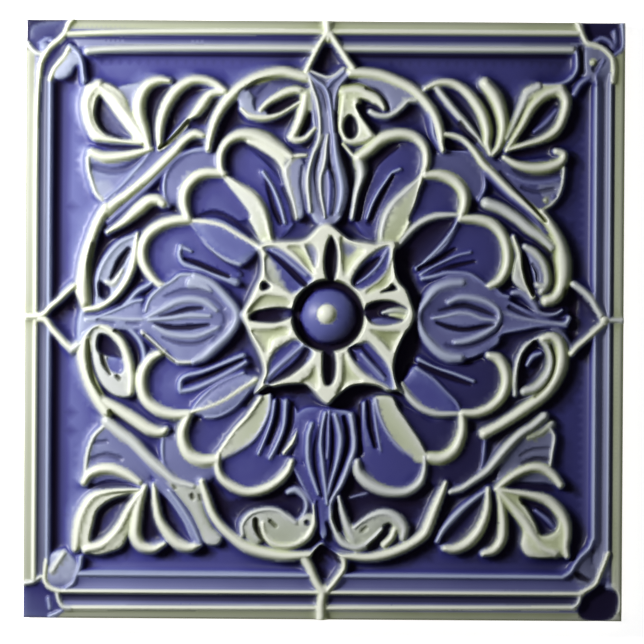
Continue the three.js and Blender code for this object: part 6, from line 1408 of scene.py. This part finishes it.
def relief_mesh():
    """The face of the tile as a mesh."""
    bend = np.maximum(1, np.hypot(slope_x, slope_y))
    signals = [level / LEVEL_SCALE, slope_x / bend, slope_y / bend, cream, shade_and_pool, crest]
    faces = face_triangles([values.ravel() for values in signals])
    used, faces = np.unique(faces, return_inverse=True)
    faces = faces.reshape(-1, 3)
    points = np.stack([AXIS[used % COUNT], AXIS[used // COUNT], level.ravel()[used]], axis=1) * MM
    mesh = bpy.data.meshes.new("tile_relief")
    mesh.vertices.add(len(points))
    mesh.vertices.foreach_set("co", points.ravel())
    mesh.loops.add(faces.size)
    mesh.loops.foreach_set("vertex_index", faces.ravel())
    mesh.polygons.add(len(faces))
    mesh.polygons.foreach_set("loop_start", np.arange(len(faces)) * 3)
    mesh.update(calc_edges=True)
    return mesh


def bend_normals(mesh):
    """Gives the face the relief's own normals. The other sides keep theirs."""
    count = len(mesh.loops)
    corner = np.empty(count, dtype=int)
    mesh.loops.foreach_get("vertex_index", corner)
    flat = np.empty(len(mesh.vertices) * 3)
    mesh.vertices.foreach_get("co", flat)
    points = flat.reshape(-1, 3) / MM
    east = at_points(slope_x, points[:, 0], points[:, 1])
    north = at_points(slope_y, points[:, 0], points[:, 1])
    turned = np.stack([-east, -north, np.ones(len(east))], axis=1)
    turned /= np.linalg.norm(turned, axis=1)[:, None]
    upward = np.empty(len(mesh.polygons) * 3)
    mesh.polygons.foreach_get("normal", upward)
    sizes = np.empty(len(mesh.polygons), dtype=int)
    mesh.polygons.foreach_get("loop_total", sizes)
    faces_up = np.repeat(upward.reshape(-1, 3)[:, 2] > LEAST_UPWARD, sizes)
    normals = np.where((faces_up & (points[corner, 2] > LOW_PART))[:, None], turned[corner], 0)
    mesh.normals_split_custom_set(normals.tolist())


def add_groove(form, across):
    """A keying groove in the underside: its open rim, walls and ceiling. Returns the rim's edges."""
    side = GROOVE_WIDTH / 2
    reach = TILE / 2 - GROOVE_MARGIN
    left = across - side
    right = across + side
    corners = [(left, -reach), (right, -reach), (right, reach), (left, reach)]
    rim = [form.verts.new((x * MM, y * MM, 0)) for x, y in corners]
    ceiling = [form.verts.new((x * MM, y * MM, GROOVE_DEPTH * MM)) for x, y in corners]
    for k in range(4):
        after = (k + 1) % 4
        form.faces.new([rim[k], rim[after], ceiling[after], ceiling[k]])
    form.faces.new(ceiling)
    return [form.edges.get([rim[k], rim[(k + 1) % 4]]) for k in range(4)]


def close_body(mesh):
    """Walls down from the border of the face, an eased lower edge and the underside with its grooves."""
    form = bmesh.new()
    form.from_mesh(mesh)
    border = [edge for edge in form.edges if edge.is_boundary]
    for height, inset in ((ARRIS, 0.0), (0.0, ARRIS)):
        grown = bmesh.ops.extrude_edge_only(form, edges=border)["geom"]
        border = [item for item in grown if isinstance(item, bmesh.types.BMEdge) and item.is_boundary]
        for point in {point for edge in border for point in edge.verts}:
            reach = (TILE / 2 - inset) * MM
            point.co.x = max(-reach, min(reach, point.co.x))
            point.co.y = max(-reach, min(reach, point.co.y))
            point.co.z = height * MM
    rims = []
    for k in range(GROOVE_COUNT):
        rims += add_groove(form, (k - (GROOVE_COUNT - 1) / 2) * GROOVE_PITCH)
    bmesh.ops.triangle_fill(
        form, use_beauty=True, use_dissolve=False, edges=border + rims, normal=(0, 0, -1))
    bmesh.ops.recalc_face_normals(form, faces=form.faces)
    for face in form.faces:
        face.smooth = True
    for edge in form.edges:
        low = edge.verts[0].co.z < LOW_PART * MM
        if low and len(edge.link_faces) == 2 and edge.calc_face_angle() > SHARP_ANGLE:
            edge.smooth = False
    form.to_mesh(mesh)
    form.free()


def add_layers(mesh):
    """Keeps what the glaze depends on as values of the mesh's points."""
    flat = np.empty(len(mesh.vertices) * 3)
    mesh.vertices.foreach_get("co", flat)
    points = flat.reshape(-1, 3) / MM
    layers = {"cream": cream, "shade_and_pool": shade_and_pool, "crest": crest, "shaded_flank": shaded_flank}
    for name, values in layers.items():
        layer = mesh.attributes.new(name, "FLOAT", "POINT")
        layer.data.foreach_set("value", at_points(values, points[:, 0], points[:, 1]))


def make_tile():
    mesh = relief_mesh()
    close_body(mesh)
    add_layers(mesh)
    bend_normals(mesh)
    mesh.materials.append(glazed_clay())
    piece = bpy.data.objects.new("tile_relief", mesh)
    bpy.context.scene.collection.objects.link(piece)
    return piece


# Glaze and clay

class Nodes:
    """Short calls for building a material's nodes."""

    def __init__(self, name):
        self.material = bpy.data.materials.new(name)
        self.material.use_nodes = True
        self.tree = self.material.node_tree
        self.tree.nodes.clear()

    def add(self, kind, **settings):
        node = self.tree.nodes.new(kind)
        for key, value in settings.items():
            setattr(node, key, value)
        return node

    def link(self, source, target):
        self.tree.links.new(source, target)

    def set(self, socket, value):
        if isinstance(value, bpy.types.NodeSocket):
            self.link(value, socket)
        else:
            socket.default_value = value

    def layer(self, name):
        return self.add("ShaderNodeAttribute", attribute_name=name).outputs["Fac"]

    def math(self, operation, *values, clamp=False):
        node = self.add("ShaderNodeMath", operation=operation, use_clamp=clamp)
        for socket, value in zip(node.inputs, values):
            self.set(socket, value)
        return node.outputs[0]

    def mix(self, amount, first, second):
        node = self.add("ShaderNodeMix", data_type="RGBA")
        self.set(node.inputs[0], amount)
        self.set(node.inputs[6], first)
        self.set(node.inputs[7], second)
        return node.outputs[2]

    def ramp(self, amount, stops):
        node = self.add("ShaderNodeValToRGB")
        while len(node.color_ramp.elements) < len(stops):
            node.color_ramp.elements.new(0.5)
        for element, (place, colour) in zip(node.color_ramp.elements, stops):
            element.position = place
            element.color = colour
        self.link(amount, node.inputs[0])
        return node.outputs[0]

    def span(self, value, low, high):
        node = self.add("ShaderNodeMapRange", interpolation_type="SMOOTHSTEP")
        for socket, number in zip(node.inputs, (value, low, high)):
            self.set(socket, number)
        return node.outputs[0]

    def noise(self, place, scale, detail=2.0, roughness=0.5):
        node = self.add("ShaderNodeTexNoise")
        self.link(place, node.inputs["Vector"])
        node.inputs["Scale"].default_value = scale
        node.inputs["Detail"].default_value = detail
        node.inputs["Roughness"].default_value = roughness
        return node.outputs["Fac"]

    def bump(self, height, strength, distance, shader):
        node = self.add("ShaderNodeBump")
        node.inputs["Strength"].default_value = strength
        node.inputs["Distance"].default_value = distance
        self.link(height, node.inputs["Height"])
        self.link(node.outputs["Normal"], shader.inputs["Normal"])


def glazed_clay():
    nodes = Nodes("glazed_clay")
    place = nodes.add("ShaderNodeTexCoord").outputs["Object"]
    cloud = nodes.noise(place, CLOUD_SCALE, detail=3)
    speckle = nodes.noise(place, SPECKLE_SCALE)
    drift = nodes.math("MULTIPLY_ADD", cloud, CLOUD_GAIN, -CLOUD_GAIN / 2)

    thin = nodes.math("ADD", nodes.layer("crest"), drift)
    blue = nodes.ramp(thin, BLUE_GLAZE)
    pale = nodes.ramp(thin, CREAM_GLAZE)
    # Olive on the flanks away from the light: painted shade
    olive = nodes.math("MULTIPLY", nodes.layer("shaded_flank"), OLIVE_STRENGTH, clamp=True)
    pale = nodes.mix(olive, pale, OLIVE_GLAZE)
    glaze = nodes.mix(nodes.layer("cream"), blue, pale)
    # Painted shade and pooled glaze darken the glaze towards purple-black
    dark = nodes.math("MULTIPLY", nodes.layer("shade_and_pool"), SHADE_AND_POOL_STRENGTH, clamp=True)
    glaze = nodes.mix(dark, glaze, SHADE_AND_POOL_COLOUR)

    surface = nodes.add("ShaderNodeBsdfPrincipled")
    nodes.link(glaze, surface.inputs["Base Color"])
    surface.inputs["Roughness"].default_value = GLAZE_ROUGHNESS
    shine = nodes.math("MULTIPLY_ADD", nodes.layer("shade_and_pool"), -GLAZE_SHINE, GLAZE_SHINE, clamp=True)
    nodes.link(shine, surface.inputs["Specular IOR Level"])
    surface.inputs["Coat Weight"].default_value = COAT_WEIGHT
    surface.inputs["Coat Roughness"].default_value = COAT_ROUGHNESS
    fine = nodes.math("MULTIPLY", speckle, SPECKLE_SHARE)
    waves = nodes.math("ADD", nodes.noise(place, RIPPLE_SCALE), fine)
    nodes.bump(waves, RIPPLE_STRENGTH, RIPPLE_HEIGHT, surface)

    clay = nodes.add("ShaderNodeBsdfPrincipled")
    patches = nodes.noise(place, CLAY_SCALE, detail=6, roughness=0.7)
    nodes.link(nodes.ramp(patches, BARE_CLAY), clay.inputs["Base Color"])
    clay.inputs["Roughness"].default_value = CLAY_ROUGHNESS
    grain = nodes.noise(place, GRAIN_SCALE, detail=6, roughness=0.7)
    nodes.bump(grain, GRAIN_STRENGTH, GRAIN_HEIGHT, clay)

    split = nodes.add("ShaderNodeSeparateXYZ")
    nodes.link(place, split.inputs[0])
    wave = nodes.math("MULTIPLY", nodes.noise(place, WAVE_SCALE, detail=3), WAVE_HEIGHT)
    lift = nodes.math("SUBTRACT", split.outputs["Z"], wave)
    covered = nodes.span(lift, GLAZE_LINE * MM, (GLAZE_LINE + LINE_SOFT) * MM)
    blend = nodes.add("ShaderNodeMixShader")
    nodes.link(covered, blend.inputs[0])
    nodes.link(clay.outputs[0], blend.inputs[1])
    nodes.link(surface.outputs[0], blend.inputs[2])
    output = nodes.add("ShaderNodeOutputMaterial")
    nodes.link(blend.outputs[0], output.inputs["Surface"])
    return nodes.material


# Floor, light and camera

def make_floor():
    mesh = bpy.data.meshes.new("floor")
    corners = [(x * FLOOR_REACH, y * FLOOR_REACH, 0) for x, y in ((-1, -1), (1, -1), (1, 1), (-1, 1))]
    mesh.from_pydata(corners, [], [(0, 1, 2, 3)])
    floor = bpy.data.objects.new("floor", mesh)
    floor.location.z = -FLOOR_DROP
    bpy.context.scene.collection.objects.link(floor)
    nodes = Nodes("floor_paper")
    paper = nodes.add("ShaderNodeBsdfPrincipled")
    paper.inputs["Base Color"].default_value = FLOOR_COLOUR
    paper.inputs["Roughness"].default_value = 1.0
    paper.inputs["Specular IOR Level"].default_value = 0.0
    paper.inputs["Emission Color"].default_value = (1, 1, 1, 1)
    paper.inputs["Emission Strength"].default_value = FLOOR_GLOW
    output = nodes.add("ShaderNodeOutputMaterial")
    nodes.link(paper.outputs[0], output.inputs["Surface"])
    mesh.materials.append(nodes.material)


def add_softbox(name, place, target, size, power):
    lamp = bpy.data.lights.new(name, "AREA")
    lamp.shape = "DISK"
    lamp.size = size
    lamp.energy = power
    box = bpy.data.objects.new(name, lamp)
    box.location = Vector(place)
    box.rotation_euler = (Vector(target) - Vector(place)).to_track_quat("-Z", "Y").to_euler()
    bpy.context.scene.collection.objects.link(box)


def light_scene():
    add_softbox("key", KEY_PLACE, KEY_TARGET, KEY_SIZE, KEY_POWER)
    add_softbox("haze", HAZE_PLACE, HAZE_TARGET, HAZE_SIZE, HAZE_POWER)
    world = bpy.data.worlds.new("room")
    world.use_nodes = True
    background = world.node_tree.nodes["Background"]
    background.inputs["Color"].default_value = ROOM_COLOUR
    background.inputs["Strength"].default_value = ROOM_LIGHT
    bpy.context.scene.world = world


def place_camera():
    camera = bpy.data.cameras.new("camera")
    camera.lens = LENS
    camera.sensor_width = SENSOR
    camera.sensor_fit = "HORIZONTAL"
    camera.clip_start = CLIP_START
    eye = bpy.data.objects.new("camera", camera)
    distance = VIEW_WIDTH * LENS / SENSOR
    eye.location = (VIEW_CENTRE[0] * MM, VIEW_CENTRE[1] * MM, distance * MM + FIELD * MM)
    eye.rotation_euler = (0, 0, math.radians(VIEW_TURN))
    bpy.context.scene.collection.objects.link(eye)
    bpy.context.scene.camera = eye
    bpy.context.scene.view_settings.view_transform = "Standard"


tile = make_tile()
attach(tile, "root")
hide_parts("tile")
make_floor()
light_scene()
place_camera()
